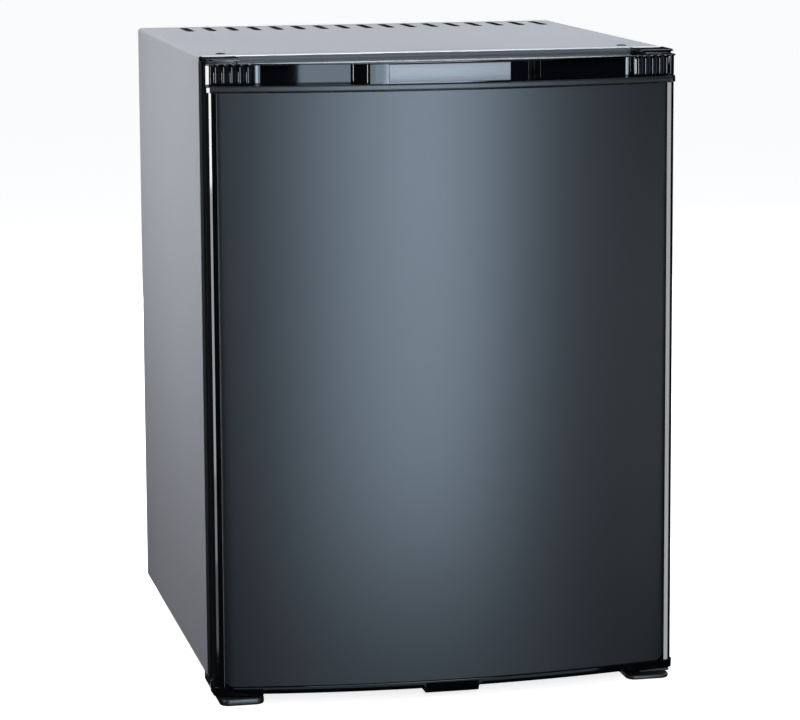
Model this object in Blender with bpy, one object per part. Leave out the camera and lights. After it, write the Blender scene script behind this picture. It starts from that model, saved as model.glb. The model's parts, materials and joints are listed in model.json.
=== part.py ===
"""Minibar fridge with a bowed door, a ribbed top moulding and an absorption cooling unit at the rear.

Metres, +Z up, front towards -Y. The origin lies on the floor, at the middle of the whole object.
"""

import math

import bmesh
import bpy
from mathutils import Vector

# Gaps and facets
FIT = 0.0003
CORNER_STEPS = 3
END_STEPS = 4
BEND_STEPS = 5
ROUND_STEPS = 12
BORE_STEPS = 16
DRUM_STEPS = 20
TUBE_SIDES = 2
MERGE = 0.00001
SHARP_DEGREES = 32
BEVEL_DEGREES = 50

# Cabinet
CABINET_WIDTH = 0.402
CABINET_DEPTH = 0.380
CABINET_HEIGHT = 0.5445
SIDE_BOTTOM = 0.0155
SHEET = 0.0010
FOLD_RADIUS = 0.0030
REAR_FLANGE = 0.012
CORNER_RELIEF = 0.002
REAR_BAY = 0.075

# Vent slots in the top sheet
VENT_COUNT = 17
VENT_LENGTH = 0.050
VENT_WIDTH = 0.0062
VENT_FROM_REAR = 0.015
VENT_LEFT_MARGIN = 0.041
VENT_RIGHT_MARGIN = 0.022

# Front frame and cold room
FRAME_PROUD = 0.006
FRAME_DROP = 0.0012
FRAME_RADIUS = 0.004
ROOM_SIDE = 0.036
ROOM_FLOOR = 0.052
ROOM_TOP_GAP = 0.0385
ROOM_BACK_FOAM = 0.033
LINER_WALL = 0.002
ROOM_RADIUS = 0.014
LEDGE_LENGTH = 0.150
LEDGE_DEPTH = 0.005
LEDGE_HEIGHT = 0.006
LEDGE_REAR_GAP = 0.030
LEDGE_SHARES = (0.137, 0.304, 0.471, 0.639)
SHELF_LEDGES = ((1, "lower"), (3, "upper"))
SHELF_THICKNESS = 0.0045
SHELF_LIP = 0.010
SHELF_SLOTS = 9
SHELF_SLOT_WIDTH = 0.008
SHELF_BORDER = 0.028
SHELF_SIDE_GAP = 0.0015

# Door
SEAL_GAP = 0.005
DOOR_SIDE = 0.026
DOOR_BOW = 0.0225
DOOR_TOP_DROP = 0.0040
DOOR_BOTTOM = 0.0085
BOTTOM_MOULDING = 0.0067
CORNER_BLOCK_DROP = 0.0017
PANEL_SKIN = 0.0014
PANEL_CORNER = 0.0065
TRIM_WIDTH = 0.0085
TRIM_INSET = 0.0016
TRIM_WALL = 0.0020
TRIM_FLANGE = 0.0025
EDGE_RADIUS = 0.0040
BACK_RADIUS = 0.0030
PANEL_STEPS = 11
FOAM_STEPS = 8

# Top moulding of the door
TOP_RAIL = 0.0014
CHANNEL_HEIGHT = 0.0168
LIP_HEIGHT = 0.0053
LIP_CHAMFER = 0.0010
CHANNEL_DEPTH = 0.0120
HANDLE_HALF = 0.066
HANDLE_BLEND = 0.018
PLATE_HALF = 0.0515
PLATE_THICKNESS = 0.0010
PLATE_SEAT = 0.0014
PLATE_RIM = 0.0006
CORNER_BLOCK = 0.041
CORNER_RECESS = 0.0040
CORNER_BLEND = 0.0035
RIB_COUNT = 5
RIB_PITCH = 0.0066
RIB_HEIGHT = 0.0026
RIB_STEPS = 4
HANDLE_STEPS = 5
BLEND_STEPS = 6
CHANNEL_STEPS = 5
BLOCK_STEPS = 3

# Bottom moulding of the door
TAB_HALF = 0.023
TAB_DROP = 0.0043
STEP_RUN = 0.0003
TAB_STEPS = 2
UNDERSIDE_STEPS = 9

# Inner door
DOOR_LINER = 0.0020
RIM_CLEARANCE = 0.005
RIM_WALL = 0.004
RIM_REACH = 0.012
SEAL_OFFSET = 0.010
SEAL_WIDTH = 0.012
SEAL_SECTION = ((0.0, 0.0), (0.15, 1.0), (0.62, 1.0), (0.72, 0.5), (0.88, 0.93), (1.0, 0.5), (0.9, 0.0))
BIN_SIDE_GAP = 0.015
BIN_REACH = 0.068
BIN_WALL = 0.0022
BIN_DRAFT = 0.004
BIN_RADIUS = 0.012
UPPER_BIN_DROP = 0.161
UPPER_BIN_HEIGHT = 0.060
LOWER_BIN_LIFT = 0.014
LOWER_BIN_HEIGHT = 0.075
RAIL_RISE = 0.055
RAIL_RADIUS = 0.0025

# Hinges
AXIS_INSET = 0.012
AXIS_BEHIND_BACK = 0.014
HINGE_WIDTH = 0.026
HINGE_SHEET = 0.0015
HINGE_LEG = 0.030
HINGE_NOSE = 0.009
HINGE_RISE = 0.0003
HINGE_SETBACK = 0.002
PIN_RADIUS = 0.0030
PIN_REACH = 0.0090
BUSH_WALL = 0.0017
BUSH_DEPTH = 0.0110
COVER_WIDTH = 0.031
COVER_REACH = 0.029
COVER_RADIUS = 0.007
LOWER_PLATE = 0.0018
LOWER_PLATE_FLOOR = 0.0040
PLUG_RADIUS = 0.0042
PLUG_INSET_LEFT = 0.0215
PLUG_INSET_RIGHT = 0.032
PLUG_BEHIND = 0.019

# Feet
FOOT_WIDTH = 0.038
FOOT_INSET = 0.004
FOOT_RADIUS = 0.008
FOOT_TONGUE = 0.0058
FOOT_BACK = 0.045
FOOT_PAST_DOOR = 0.008
REAR_FOOT = 0.030
REAR_FOOT_INSET = 0.010
FOOT_EDGE = 0.0012

# Cold side
EVAPORATOR_WIDTH = 0.180
EVAPORATOR_HEIGHT = 0.090
EVAPORATOR_PLATE = 0.003
EVAPORATOR_TOP_GAP = 0.022
FIN_REACH = 0.022
FIN_COUNT = 12
FIN_THICKNESS = 0.0016
DRIP_OVERHANG = 0.010
DRIP_DEPTH = 0.032
DRIP_HEIGHT = 0.014
DRIP_WALL = 0.0015
DRIP_GAP = 0.006
CONTROL_WIDTH = 0.110
CONTROL_DEPTH = 0.055
CONTROL_HEIGHT = 0.022
CONTROL_SETBACK = 0.082
KNOB_RADIUS = 0.0088
KNOB_DEPTH = 0.0095
KNOB_FLUTES = 12
FLUTE_STEPS = 4
KNOB_FLUTE_DEPTH = 0.0006
KNOB_SHAFT = 0.003
KNOB_SHAFT_LENGTH = 0.006
KNOB_OFFSET = 0.034
LENS_WIDTH = 0.042
LENS_HEIGHT = 0.013
LENS_PROUD = 0.003

# Cooling unit in the rear bay
TUBE_RADIUS = 0.0065
TUBE_BEND = 0.0165
BAR_SHEET = 0.002
BAR_HEIGHT = 0.020
LOWER_BAR_FLOOR = 0.058
BOILER_SIDE_GAP = 0.084
BOILER_RADIUS = 0.030
BOILER_FLOOR = 0.064
BOILER_HEIGHT = 0.235
BOILER_SHOULDER = 0.008
HEATER_RADIUS = 0.006
HEATER_LENGTH = 0.024
LEAD_RADIUS = 0.0025
LEAD_LIFT = 0.0145
LEAD_BEND = 0.005
CONDENSER_BELOW_TOP = 0.0445
CONDENSER_FROM_BOILER = 0.031
CONDENSER_SIDE_GAP = 0.083
CONDENSER_FINS = 16
CONDENSER_FIN = 0.0012
CONDENSER_FIN_HEIGHT = 0.050
COLD_PIPE_OFFSET = 0.040
COLD_PIPE_SIDE_GAP = 0.059
VESSEL_RADIUS = 0.022
VESSEL_DOME = 0.9
VESSEL_SIDE_GAP = 0.073
VESSEL_FROM_BOILER = 0.057
VESSEL_AXIS = 0.064
COIL_SIDE_GAP = 0.051
COIL_FROM_BOILER = 0.049
COIL_STUB = 0.050
COIL_FLOOR = 0.122
COIL_RUNS = 6
COIL_PITCH = 0.035
EXCHANGER_RADIUS = 0.011
DRAIN_INSET = 0.030
DRAIN_RADIUS = 0.004
DRAIN_BEND = 0.008
DISH_FROM_BOILER = 0.042
DISH_WIDTH = 0.075
DISH_HEIGHT = 0.018
DISH_WALL = 0.0015
DISH_BEHIND_PANEL = 0.003
DISH_REACH = 0.046
TERMINAL_SIDE_GAP = 0.004
TERMINAL_WIDTH = 0.044
TERMINAL_HEIGHT = 0.034
TERMINAL_DEPTH = 0.056
TERMINAL_FROM_REAR = 0.008
INLET_WIDTH = 0.027
INLET_HEIGHT = 0.020
INLET_WALL = 0.0022
INLET_POCKET = 0.0045
INLET_PROUD = 0.0060
SOFT_EDGE = 0.0015
SOFT_SEGMENTS = 2

# Places worked out from the sizes
HALF_WIDTH = CABINET_WIDTH / 2
DOOR_EDGE = FRAME_PROUD + SEAL_GAP + DOOR_SIDE
TOTAL_DEPTH = CABINET_DEPTH + DOOR_EDGE + DOOR_BOW
FRONT = DOOR_EDGE + DOOR_BOW - TOTAL_DEPTH / 2
BACK = FRONT + CABINET_DEPTH
FRAME_FACE = FRONT - FRAME_PROUD
DOOR_BACK = FRAME_FACE - SEAL_GAP
DOOR_EDGE_Y = DOOR_BACK - DOOR_SIDE
BOW_RADIUS = (HALF_WIDTH ** 2 + DOOR_BOW ** 2) / (2 * DOOR_BOW)
INSIDE = HALF_WIDTH - SHEET - FIT
BASE_TOP = SIDE_BOTTOM + SHEET
INNER_CEILING = CABINET_HEIGHT - SHEET - FIT
ROOM_HALF = HALF_WIDTH - ROOM_SIDE
ROOM_TOP = CABINET_HEIGHT - ROOM_TOP_GAP
PANEL_FACE = BACK - REAR_BAY
ROOM_BACK = PANEL_FACE - ROOM_BACK_FOAM - LINER_WALL
DOOR_TOP = CABINET_HEIGHT - DOOR_TOP_DROP
PANEL_TOP = DOOR_TOP - TOP_RAIL - CHANNEL_HEIGHT - LIP_HEIGHT
PANEL_BOTTOM = DOOR_BOTTOM + BOTTOM_MOULDING
CORNER_BOTTOM = DOOR_BOTTOM - CORNER_BLOCK_DROP
AXIS_X = HALF_WIDTH - AXIS_INSET
AXIS_Y = DOOR_BACK - AXIS_BEHIND_BACK
BUSH_RADIUS = PIN_RADIUS + FIT + BUSH_WALL
HINGE_FLOOR = DOOR_TOP + HINGE_RISE
HINGE_TOP = HINGE_FLOOR + HINGE_SHEET
LOWER_PLATE_TOP = LOWER_PLATE_FLOOR + LOWER_PLATE
EVAPORATOR_TOP = ROOM_TOP - EVAPORATOR_TOP_GAP
EVAPORATOR_BOTTOM = EVAPORATOR_TOP - EVAPORATOR_HEIGHT
EVAPORATOR_FACE = ROOM_BACK - FIT - EVAPORATOR_PLATE
COLD_PIPE_Z = EVAPORATOR_BOTTOM + EVAPORATOR_HEIGHT / 2
DRIP_TOP = EVAPORATOR_BOTTOM - DRIP_GAP
DRIP_FLOOR = DRIP_TOP - DRIP_HEIGHT
DRAIN_Z = DRIP_FLOOR + DRAIN_RADIUS + DRIP_WALL
BAR_REAR = BACK - SHEET - FIT
BAR_FRONT = BAR_REAR - BAR_SHEET
UNIT_Y = BAR_FRONT - FIT - BOILER_RADIUS
CONDENSER_Z = CABINET_HEIGHT - CONDENSER_BELOW_TOP
BOILER_TOP = BOILER_FLOOR + BOILER_HEIGHT
CONTROL_FRONT = FRONT + CONTROL_SETBACK
CONTROL_TOP = ROOM_TOP - FIT
CONTROL_BOTTOM = CONTROL_TOP - CONTROL_HEIGHT
LOWER_BIN_FLOOR = ROOM_FLOOR + LOWER_BIN_LIFT
UPPER_BIN_FLOOR = ROOM_TOP - UPPER_BIN_DROP
BOILER_X = HALF_WIDTH - BOILER_SIDE_GAP
LEAD_LEVEL = BASE_TOP + LEAD_LIFT
CONDENSER_RIGHT = BOILER_X - CONDENSER_FROM_BOILER
CONDENSER_LEFT = CONDENSER_SIDE_GAP - HALF_WIDTH
VESSEL_RIGHT = BOILER_X - VESSEL_FROM_BOILER
VESSEL_LEFT = VESSEL_SIDE_GAP - HALF_WIDTH
COIL_RIGHT = BOILER_X - COIL_FROM_BOILER
COIL_LEFT = COIL_SIDE_GAP - HALF_WIDTH
COIL_START_X = COIL_LEFT + COIL_STUB
COLD_PIPE_X = COIL_START_X + COLD_PIPE_OFFSET
COLD_PIPE_LOOP_X = COLD_PIPE_SIDE_GAP - HALF_WIDTH
DISH_RIGHT = BOILER_X - DISH_FROM_BOILER
DISH_LEFT = DISH_RIGHT - DISH_WIDTH
DRAIN_X = DISH_RIGHT - DRAIN_INSET
TERMINAL_RIGHT = HALF_WIDTH - SHEET - TERMINAL_SIDE_GAP
TERMINAL_LEFT = TERMINAL_RIGHT - TERMINAL_WIDTH

# Finishes: colour, roughness, metallic
PAINTED_STEEL = ((0.44, 0.46, 0.50), 0.38, 0.25)
BLACK_PLASTIC = ((0.012, 0.013, 0.015), 0.30, 0.0)
BLACK_GLOSS = ((0.008, 0.009, 0.011), 0.10, 0.0)
CHARCOAL = ((0.060, 0.072, 0.085), 0.36, 0.15)
LIGHT_PLASTIC = ((0.62, 0.64, 0.66), 0.45, 0.0)
CLEAR_PLASTIC = ((0.70, 0.74, 0.76), 0.20, 0.0)
FOAM = ((0.72, 0.62, 0.36), 0.90, 0.0)
RUBBER = ((0.10, 0.10, 0.11), 0.65, 0.0)
ZINC = ((0.52, 0.53, 0.54), 0.35, 0.9)
ALUMINIUM = ((0.66, 0.67, 0.69), 0.30, 0.9)
BLACK_STEEL = ((0.025, 0.025, 0.027), 0.50, 0.4)
SATIN_METAL = ((0.48, 0.50, 0.53), 0.28, 0.9)


def clear_scene():
    for old in list(bpy.data.objects):
        bpy.data.objects.remove(old, do_unlink=True)


def add_object(name, data, finish, origin, parent):
    item = bpy.data.objects.new(name, data)
    bpy.context.scene.collection.objects.link(item)
    base = Vector((0.0, 0.0, 0.0))
    if parent is not None:
        item.parent = parent
        base = parent.location
    item.location = Vector(origin) - base
    if finish is not None:
        colour, roughness, metallic = finish
        material = bpy.data.materials.new(name + "_finish")
        material.use_nodes = True
        shader = material.node_tree.nodes["Principled BSDF"]
        shader.inputs["Base Color"].default_value = (*colour, 1.0)
        shader.inputs["Roughness"].default_value = roughness
        shader.inputs["Metallic"].default_value = metallic
        data.materials.append(material)
    return item


def add_mesh(name, bm, finish, origin=(0.0, 0.0, 0.0), parent=None):
    """Turns a bmesh in world coordinates into a smooth-shaded object with its origin at the given point."""
    bmesh.ops.remove_doubles(bm, verts=bm.verts, dist=MERGE)
    bmesh.ops.recalc_face_normals(bm, faces=bm.faces)
    bmesh.ops.translate(bm, verts=bm.verts, vec=-Vector(origin))
    mesh = bpy.data.meshes.new(name)
    bm.to_mesh(mesh)
    bm.free()
    mesh.shade_smooth()
    mesh.set_sharp_from_angle(angle=math.radians(SHARP_DEGREES))
    return add_object(name, mesh, finish, origin, parent)


def bridge(bm, loops, closed):
    """Joins loops of equally many points into a skin; an open skin gets a cap at each end."""
    rows = [[bm.verts.new(point) for point in loop] for loop in loops]
    pairs = list(zip(rows, rows[1:]))
    if closed:
        pairs.append((rows[-1], rows[0]))
    for near, far in pairs:
        count = len(near)
        for index in range(count):
            after = (index + 1) % count
            bm.faces.new((near[index], near[after], far[after], far[index]))
    if not closed:
        bm.faces.new(rows[0])
        bm.faces.new(rows[-1])


def loft(name, loops, finish, closed=False, origin=(0.0, 0.0, 0.0), parent=None):
    bm = bmesh.new()
    bridge(bm, loops, closed)
    return add_mesh(name, bm, finish, origin, parent)


def at_x(outline, x):
    return [(x, u, v) for u, v in outline]


def at_y(outline, y):
    return [(u, y, v) for u, v in outline]


def at_z(outline, z):
    return [(u, v, z) for u, v in outline]


def rounded(left, right, low, high, radii, steps=CORNER_STEPS):
    """Rectangle with rounded corners: one radius, or four from the lower right corner anticlockwise."""
    if not isinstance(radii, tuple):
        radii = (radii,) * 4
    corners = ((right, low, -90), (right, high, 0), (left, high, 90), (left, low, 180))
    points = []
    for (u, v, start), radius in zip(corners, radii):
        inner_u = u - math.copysign(radius, u - (left + right) / 2)
        inner_v = v - math.copysign(radius, v - (low + high) / 2)
        for step in range(steps + 1):
            angle = math.radians(start + 90 * step / steps)
            points.append((inner_u + radius * math.cos(angle), inner_v + radius * math.sin(angle)))
    return points


def grown(box, margin):
    left, right, low, high = box
    return (left - margin, right + margin, low - margin, high + margin)


def circle(centre, radius, steps):
    angles = [2 * math.pi * step / steps for step in range(steps)]
    return [(centre[0] + radius * math.cos(a), centre[1] + radius * math.sin(a)) for a in angles]


def rounded_route(corners, bend):
    """Corner points of a pipe, with each inner corner replaced by an arc of the bend radius."""
    points = [Vector(corners[0])]
    for before, corner, after in zip(corners, corners[1:], corners[2:]):
        corner = Vector(corner)
        entry = (Vector(before) - corner).normalized()
        leave = (Vector(after) - corner).normalized()
        half = entry.angle(leave) / 2
        run = bend / math.tan(half)
        centre = corner + (entry + leave).normalized() * (bend / math.sin(half))
        start = corner + entry * run - centre
        end = corner + leave * run - centre
        turn = start.angle(end)
        for step in range(BEND_STEPS + 1):
            share = step / BEND_STEPS
            blend = start * math.sin((1 - share) * turn) + end * math.sin(share * turn)
            points.append(centre + blend / math.sin(turn))
    points.append(Vector(corners[-1]))
    return points


def pipe(name, route, radius, finish, parent=None):
    origin = Vector(route[0])
    curve = bpy.data.curves.new(name, "CURVE")
    curve.dimensions = "3D"
    curve.bevel_depth = radius
    curve.bevel_resolution = TUBE_SIDES
    curve.use_fill_caps = True
    spline = curve.splines.new("POLY")
    spline.points.add(len(route) - 1)
    for point, place in zip(spline.points, route):
        point.co = (*(Vector(place) - origin), 1.0)
    return add_object(name, curve, finish, origin, parent)


def guide(item):
    """Marks a shape that only cuts or extends another one."""
    item.hide_render = True
    item.display_type = "WIRE"
    return item


def combine(item, other, operation):
    guide(other)
    step = item.modifiers.new(other.name, "BOOLEAN")
    step.operation = operation
    step.object = other
    step.solver = "EXACT"


def cut(item, *others):
    for other in others:
        combine(item, other, "DIFFERENCE")


def fuse(item, *others):
    for other in others:
        combine(item, other, "UNION")


def soften(item, width, segments=1):
    edge = item.modifiers.new("soft_edges", "BEVEL")
    edge.width = width
    edge.segments = segments
    edge.limit_method = "ANGLE"
    edge.angle_limit = math.radians(BEVEL_DEGREES)


def block(name, low, high, finish=None, parent=None):
    outline = [(low[0], low[1]), (high[0], low[1]), (high[0], high[1]), (low[0], high[1])]
    centre = [(a + b) / 2 for a, b in zip(low, high)]
    return loft(name, [at_z(outline, low[2]), at_z(outline, high[2])], finish, origin=centre, parent=parent)


def rod(name, axis, centre, radius, low, high, finish=None, steps=ROUND_STEPS, parent=None):
    """Round bar along one axis; centre gives its place in the other two."""
    place = {"X": at_x, "Y": at_y, "Z": at_z}[axis]
    outline = circle(centre, radius, steps)
    return loft(name, [place(outline, low), place(outline, high)], finish, parent=parent)


def door_front(x):
    """Front face of the door at x, a shallow arc from side to side."""
    return DOOR_EDGE_Y - DOOR_BOW + BOW_RADIUS - math.sqrt(BOW_RADIUS ** 2 - x * x)


def corner_setback(x, reach, radius):
    """How far a rounded corner draws back at x, for an end that lies at reach."""
    past = abs(x) - (reach - radius)
    if past <= 0:
        return 0.0
    return radius - math.sqrt(max(radius ** 2 - past ** 2, 0.0))


def blend(share):
    share = min(max(share, 0.0), 1.0)
    return share * share * (3 - 2 * share)


def mirrored(stations):
    inner = sorted(set(round(x, 6) for x in stations if x > MERGE))
    return [-x for x in reversed(inner)] + [0.0] + inner


def spread(low, high, count):
    return [low + (high - low) * step / count for step in range(count + 1)]


def end_stations(reach, radius):
    turns = [math.pi / 2 * step / END_STEPS for step in range(END_STEPS + 1)]
    return [reach - radius + radius * math.sin(turn) for turn in turns]


def build_shell():
    steps = CORNER_STEPS
    outer = []
    for side in (-1, 1):
        arc = []
        for step in range(steps + 1):
            angle = math.pi / 2 * step / steps
            arc.append((side * (HALF_WIDTH - FOLD_RADIUS + FOLD_RADIUS * math.cos(angle)),
                        CABINET_HEIGHT - FOLD_RADIUS + FOLD_RADIUS * math.sin(angle)))
        outer += arc if side < 0 else arc[::-1]
    inner_radius = FOLD_RADIUS - SHEET
    inner = []
    for side in (1, -1):
        arc = []
        for step in range(steps + 1):
            angle = math.pi / 2 * step / steps
            arc.append((side * (HALF_WIDTH - FOLD_RADIUS + inner_radius * math.cos(angle)),
                        CABINET_HEIGHT - FOLD_RADIUS + inner_radius * math.sin(angle)))
        inner += arc if side > 0 else arc[::-1]
    outline = [(-HALF_WIDTH, SIDE_BOTTOM)] + outer + [(HALF_WIDTH, SIDE_BOTTOM)]
    outline += [(HALF_WIDTH - SHEET, SIDE_BOTTOM)] + inner + [(-HALF_WIDTH + SHEET, SIDE_BOTTOM)]
    shell = loft("outer_shell", [at_y(outline, FRONT), at_y(outline, BACK)], PAINTED_STEEL)
    for side, word in ((-1, "left"), (1, "right")):
        x_low, x_high = sorted((side * (HALF_WIDTH - SHEET / 2), side * (HALF_WIDTH - REAR_FLANGE)))
        flange = block("shell_flange_" + word, (x_low, BACK - SHEET, SIDE_BOTTOM),
                       (x_high, BACK, CABINET_HEIGHT - FOLD_RADIUS))
        fuse(shell, flange)
    reach = HALF_WIDTH - REAR_FLANGE - CORNER_RELIEF
    fuse(shell, block("shell_flange_top", (-reach, BACK - SHEET, CABINET_HEIGHT - REAR_FLANGE),
                      (reach, BACK, CABINET_HEIGHT - SHEET / 2)))
    cut(shell, vent_cutter())
    for x, word in plug_places():
        cut(shell, rod("plug_hole_" + word, "Z", (x, FRONT + PLUG_BEHIND), PLUG_RADIUS + FIT,
                       CABINET_HEIGHT - 2 * SHEET, CABINET_HEIGHT + SHEET))


def plug_places():
    return ((PLUG_INSET_LEFT - HALF_WIDTH, "left"), (HALF_WIDTH - PLUG_INSET_RIGHT, "right"))


def slot_row(name, first, last, width, low_y, high_y, floor, top, count):
    """Row of round-ended slots that cut through a sheet between two levels."""
    slot = rounded(first - width / 2, first + width / 2, low_y, high_y, width / 2)
    cutter = loft(name, [at_z(slot, floor - SHEET), at_z(slot, top + SHEET)], None)
    row = cutter.modifiers.new("slot_row", "ARRAY")
    row.count = count
    row.use_relative_offset = False
    row.use_constant_offset = True
    row.constant_offset_displace = ((last - first) / (count - 1), 0.0, 0.0)
    return cutter


def vent_cutter():
    first = VENT_LEFT_MARGIN - HALF_WIDTH
    last = HALF_WIDTH - VENT_RIGHT_MARGIN
    high = BACK - VENT_FROM_REAR
    return slot_row("vent_slots", first, last, VENT_WIDTH, high - VENT_LENGTH, high,
                    CABINET_HEIGHT - SHEET, CABINET_HEIGHT, VENT_COUNT)


def room_box():
    return (-ROOM_HALF, ROOM_HALF, ROOM_FLOOR, ROOM_TOP)


def build_front_frame():
    outer_box = (-HALF_WIDTH, HALF_WIDTH, SIDE_BOTTOM, CABINET_HEIGHT - FRAME_DROP)
    outer = rounded(*outer_box, FRAME_RADIUS)
    face = rounded(*grown(outer_box, -FOOT_EDGE), FRAME_RADIUS)
    inner = rounded(*room_box(), ROOM_RADIUS)
    face_inner = rounded(*grown(room_box(), FOOT_EDGE), ROOM_RADIUS)
    loops = [at_y(outer, FRONT - FIT), at_y(outer, FRAME_FACE + FOOT_EDGE), at_y(face, FRAME_FACE),
             at_y(face_inner, FRAME_FACE), at_y(inner, FRAME_FACE + FOOT_EDGE), at_y(inner, FRONT - FIT)]
    frame = loft("front_frame", loops, BLACK_PLASTIC, closed=True)
    for side, word in ((-1, "left"), (1, "right")):
        x_low, x_high = sorted((side * (HALF_WIDTH + SHEET), side * (HALF_WIDTH - COVER_WIDTH - FIT)))
        cut(frame, block("cover_seat_" + word, (x_low, FRAME_FACE - SHEET, DOOR_TOP),
                         (x_high, FRONT + SHEET, CABINET_HEIGHT)))
    x_low, x_high = hinge_span()
    seat_depth = FRAME_FACE + HINGE_SHEET + 2 * FIT
    cut(frame, block("top_hinge_seat", (x_low - FIT, FRAME_FACE - SHEET, HINGE_TOP - HINGE_LEG - FIT),
                     (x_high + FIT, seat_depth, CABINET_HEIGHT)))
    leg_top = LOWER_PLATE_FLOOR + HINGE_LEG + FIT
    cut(frame, block("bottom_hinge_seat", (x_low - FIT, FRAME_FACE - SHEET, 0.0),
                     (x_high + FIT, FRAME_FACE + LOWER_PLATE + 2 * FIT, leg_top)))


def hinge_span():
    return (HALF_WIDTH - HINGE_SETBACK - HINGE_WIDTH, HALF_WIDTH - HINGE_SETBACK)


def ledge_level(share):
    return ROOM_FLOOR + (ROOM_TOP - ROOM_FLOOR) * share


def build_inner_liner():
    inner = rounded(*room_box(), ROOM_RADIUS)
    outer = rounded(*grown(room_box(), LINER_WALL), ROOM_RADIUS + LINER_WALL)
    flange = rounded(-INSIDE, INSIDE, BASE_TOP + FIT, INNER_CEILING, FOLD_RADIUS)
    loops = [at_y(inner, ROOM_BACK), at_y(inner, FRONT), at_y(flange, FRONT),
             at_y(flange, FRONT + LINER_WALL), at_y(outer, FRONT + LINER_WALL),
             at_y(outer, ROOM_BACK + LINER_WALL)]
    liner = loft("inner_liner", loops, LIGHT_PLASTIC)
    bm = bmesh.new()
    for share in LEDGE_SHARES:
        for side in (-1, 1):
            wall = side * (ROOM_HALF + LINER_WALL / 2)
            tip = side * (ROOM_HALF - LEDGE_DEPTH)
            low = ledge_level(share)
            profile = [(wall, low - LEDGE_HEIGHT), (tip, low - LEDGE_HEIGHT / 2), (tip, low), (wall, low)]
            rear = ROOM_BACK - LEDGE_REAR_GAP
            bridge(bm, [at_y(profile, rear - LEDGE_LENGTH), at_y(profile, rear)], False)
    fuse(liner, add_mesh("shelf_ledges", bm, None))
    cut(liner, *passages("liner", ROOM_BACK - SHEET, ROOM_BACK + LINER_WALL + SHEET))


def passages(owner, low, high):
    """Holes for the cold pipe and the drain tube."""
    return (rod(owner + "_pipe_hole", "Y", (COLD_PIPE_X, COLD_PIPE_Z), TUBE_RADIUS + FIT, low, high),
            rod(owner + "_drain_hole", "Y", (DRAIN_X, DRAIN_Z), DRAIN_RADIUS + FIT, low, high))


def build_foam():
    room_outer = grown(room_box(), LINER_WALL + FIT)
    pocket = rounded(*room_outer, ROOM_RADIUS + LINER_WALL)
    outer = rounded(-INSIDE, INSIDE, BASE_TOP + FIT, INNER_CEILING, FOLD_RADIUS)
    front = FRONT + LINER_WALL + FIT
    loops = [at_y(pocket, ROOM_BACK + LINER_WALL + FIT), at_y(pocket, front), at_y(outer, front),
             at_y(outer, PANEL_FACE - FIT)]
    foam = loft("foam_insulation", loops, FOAM)
    cut(foam, *passages("foam", ROOM_BACK, PANEL_FACE + SHEET))


def build_back_panel():
    outline = rounded(-INSIDE, INSIDE, BASE_TOP + FIT, INNER_CEILING, FOLD_RADIUS)
    panel = loft("back_panel", [at_y(outline, PANEL_FACE), at_y(outline, PANEL_FACE + SHEET)], BLACK_STEEL)
    cut(panel, *passages("panel", PANEL_FACE - SHEET, PANEL_FACE + 2 * SHEET))


def build_base_plate():
    block("base_plate", (-INSIDE, FRONT + FIT, SIDE_BOTTOM), (INSIDE, BACK - SHEET - FIT, BASE_TOP),
          BLACK_STEEL)


def foot_outline(low_x, high_x, front, back):
    return rounded(low_x, high_x, front, back, (FOOT_RADIUS, FOOT_EDGE, FOOT_EDGE, FOOT_RADIUS))


def build_feet():
    front = DOOR_EDGE_Y - FOOT_PAST_DOOR
    step_y = FRAME_FACE + FIT + LOWER_PLATE + 2 * FIT
    for side, word in ((-1, "left"), (1, "right")):
        outer = side * (HALF_WIDTH - FOOT_INSET)
        x_low, x_high = sorted((outer, outer - side * FOOT_WIDTH))
        top = FOOT_TONGUE if side < 0 else LOWER_PLATE_FLOOR - FIT
        outline = foot_outline(x_low, x_high, front, FRONT + FOOT_BACK)
        foot = loft("front_foot_" + word, [at_z(outline, 0.0), at_z(outline, top)], BLACK_PLASTIC)
        riser = foot_outline(x_low, x_high, step_y, FRONT + FOOT_BACK)
        middle = top / 2
        lift = loft("foot_riser_" + word, [at_z(riser, middle), at_z(riser, SIDE_BOTTOM - FIT)], None)
        fuse(foot, lift)
        outer = side * (HALF_WIDTH - REAR_FOOT_INSET)
        x_low, x_high = sorted((outer, outer - side * REAR_FOOT))
        rear = BACK - REAR_FOOT_INSET
        box = (x_low, x_high, rear - REAR_FOOT, rear)
        base = rounded(*box, FOOT_RADIUS)
        toe = rounded(*grown(box, -FOOT_EDGE), FOOT_RADIUS)
        loft("rear_foot_" + word, [at_z(toe, 0.0), at_z(base, FOOT_EDGE), at_z(base, SIDE_BOTTOM - FIT)],
             BLACK_PLASTIC)


def build_top_hinge():
    x_low, x_high = hinge_span()
    leg_back = FRAME_FACE + FIT + HINGE_SHEET
    nose = AXIS_Y - HINGE_NOSE
    profile = [(nose, HINGE_FLOOR), (nose, HINGE_TOP), (leg_back, HINGE_TOP),
               (leg_back, HINGE_TOP - HINGE_LEG), (leg_back - HINGE_SHEET, HINGE_TOP - HINGE_LEG),
               (leg_back - HINGE_SHEET, HINGE_FLOOR)]
    plate = loft("top_hinge_plate", [at_x(profile, x_low), at_x(profile, x_high)], ZINC)
    cut(plate, rod("top_pin_hole", "Z", (AXIS_X, AXIS_Y), PIN_RADIUS + FIT, HINGE_FLOOR - SHEET,
                   HINGE_TOP + SHEET))
    rod("top_hinge_pin", "Z", (AXIS_X, AXIS_Y), PIN_RADIUS, DOOR_TOP - PIN_REACH, HINGE_TOP, ZINC)


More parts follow.
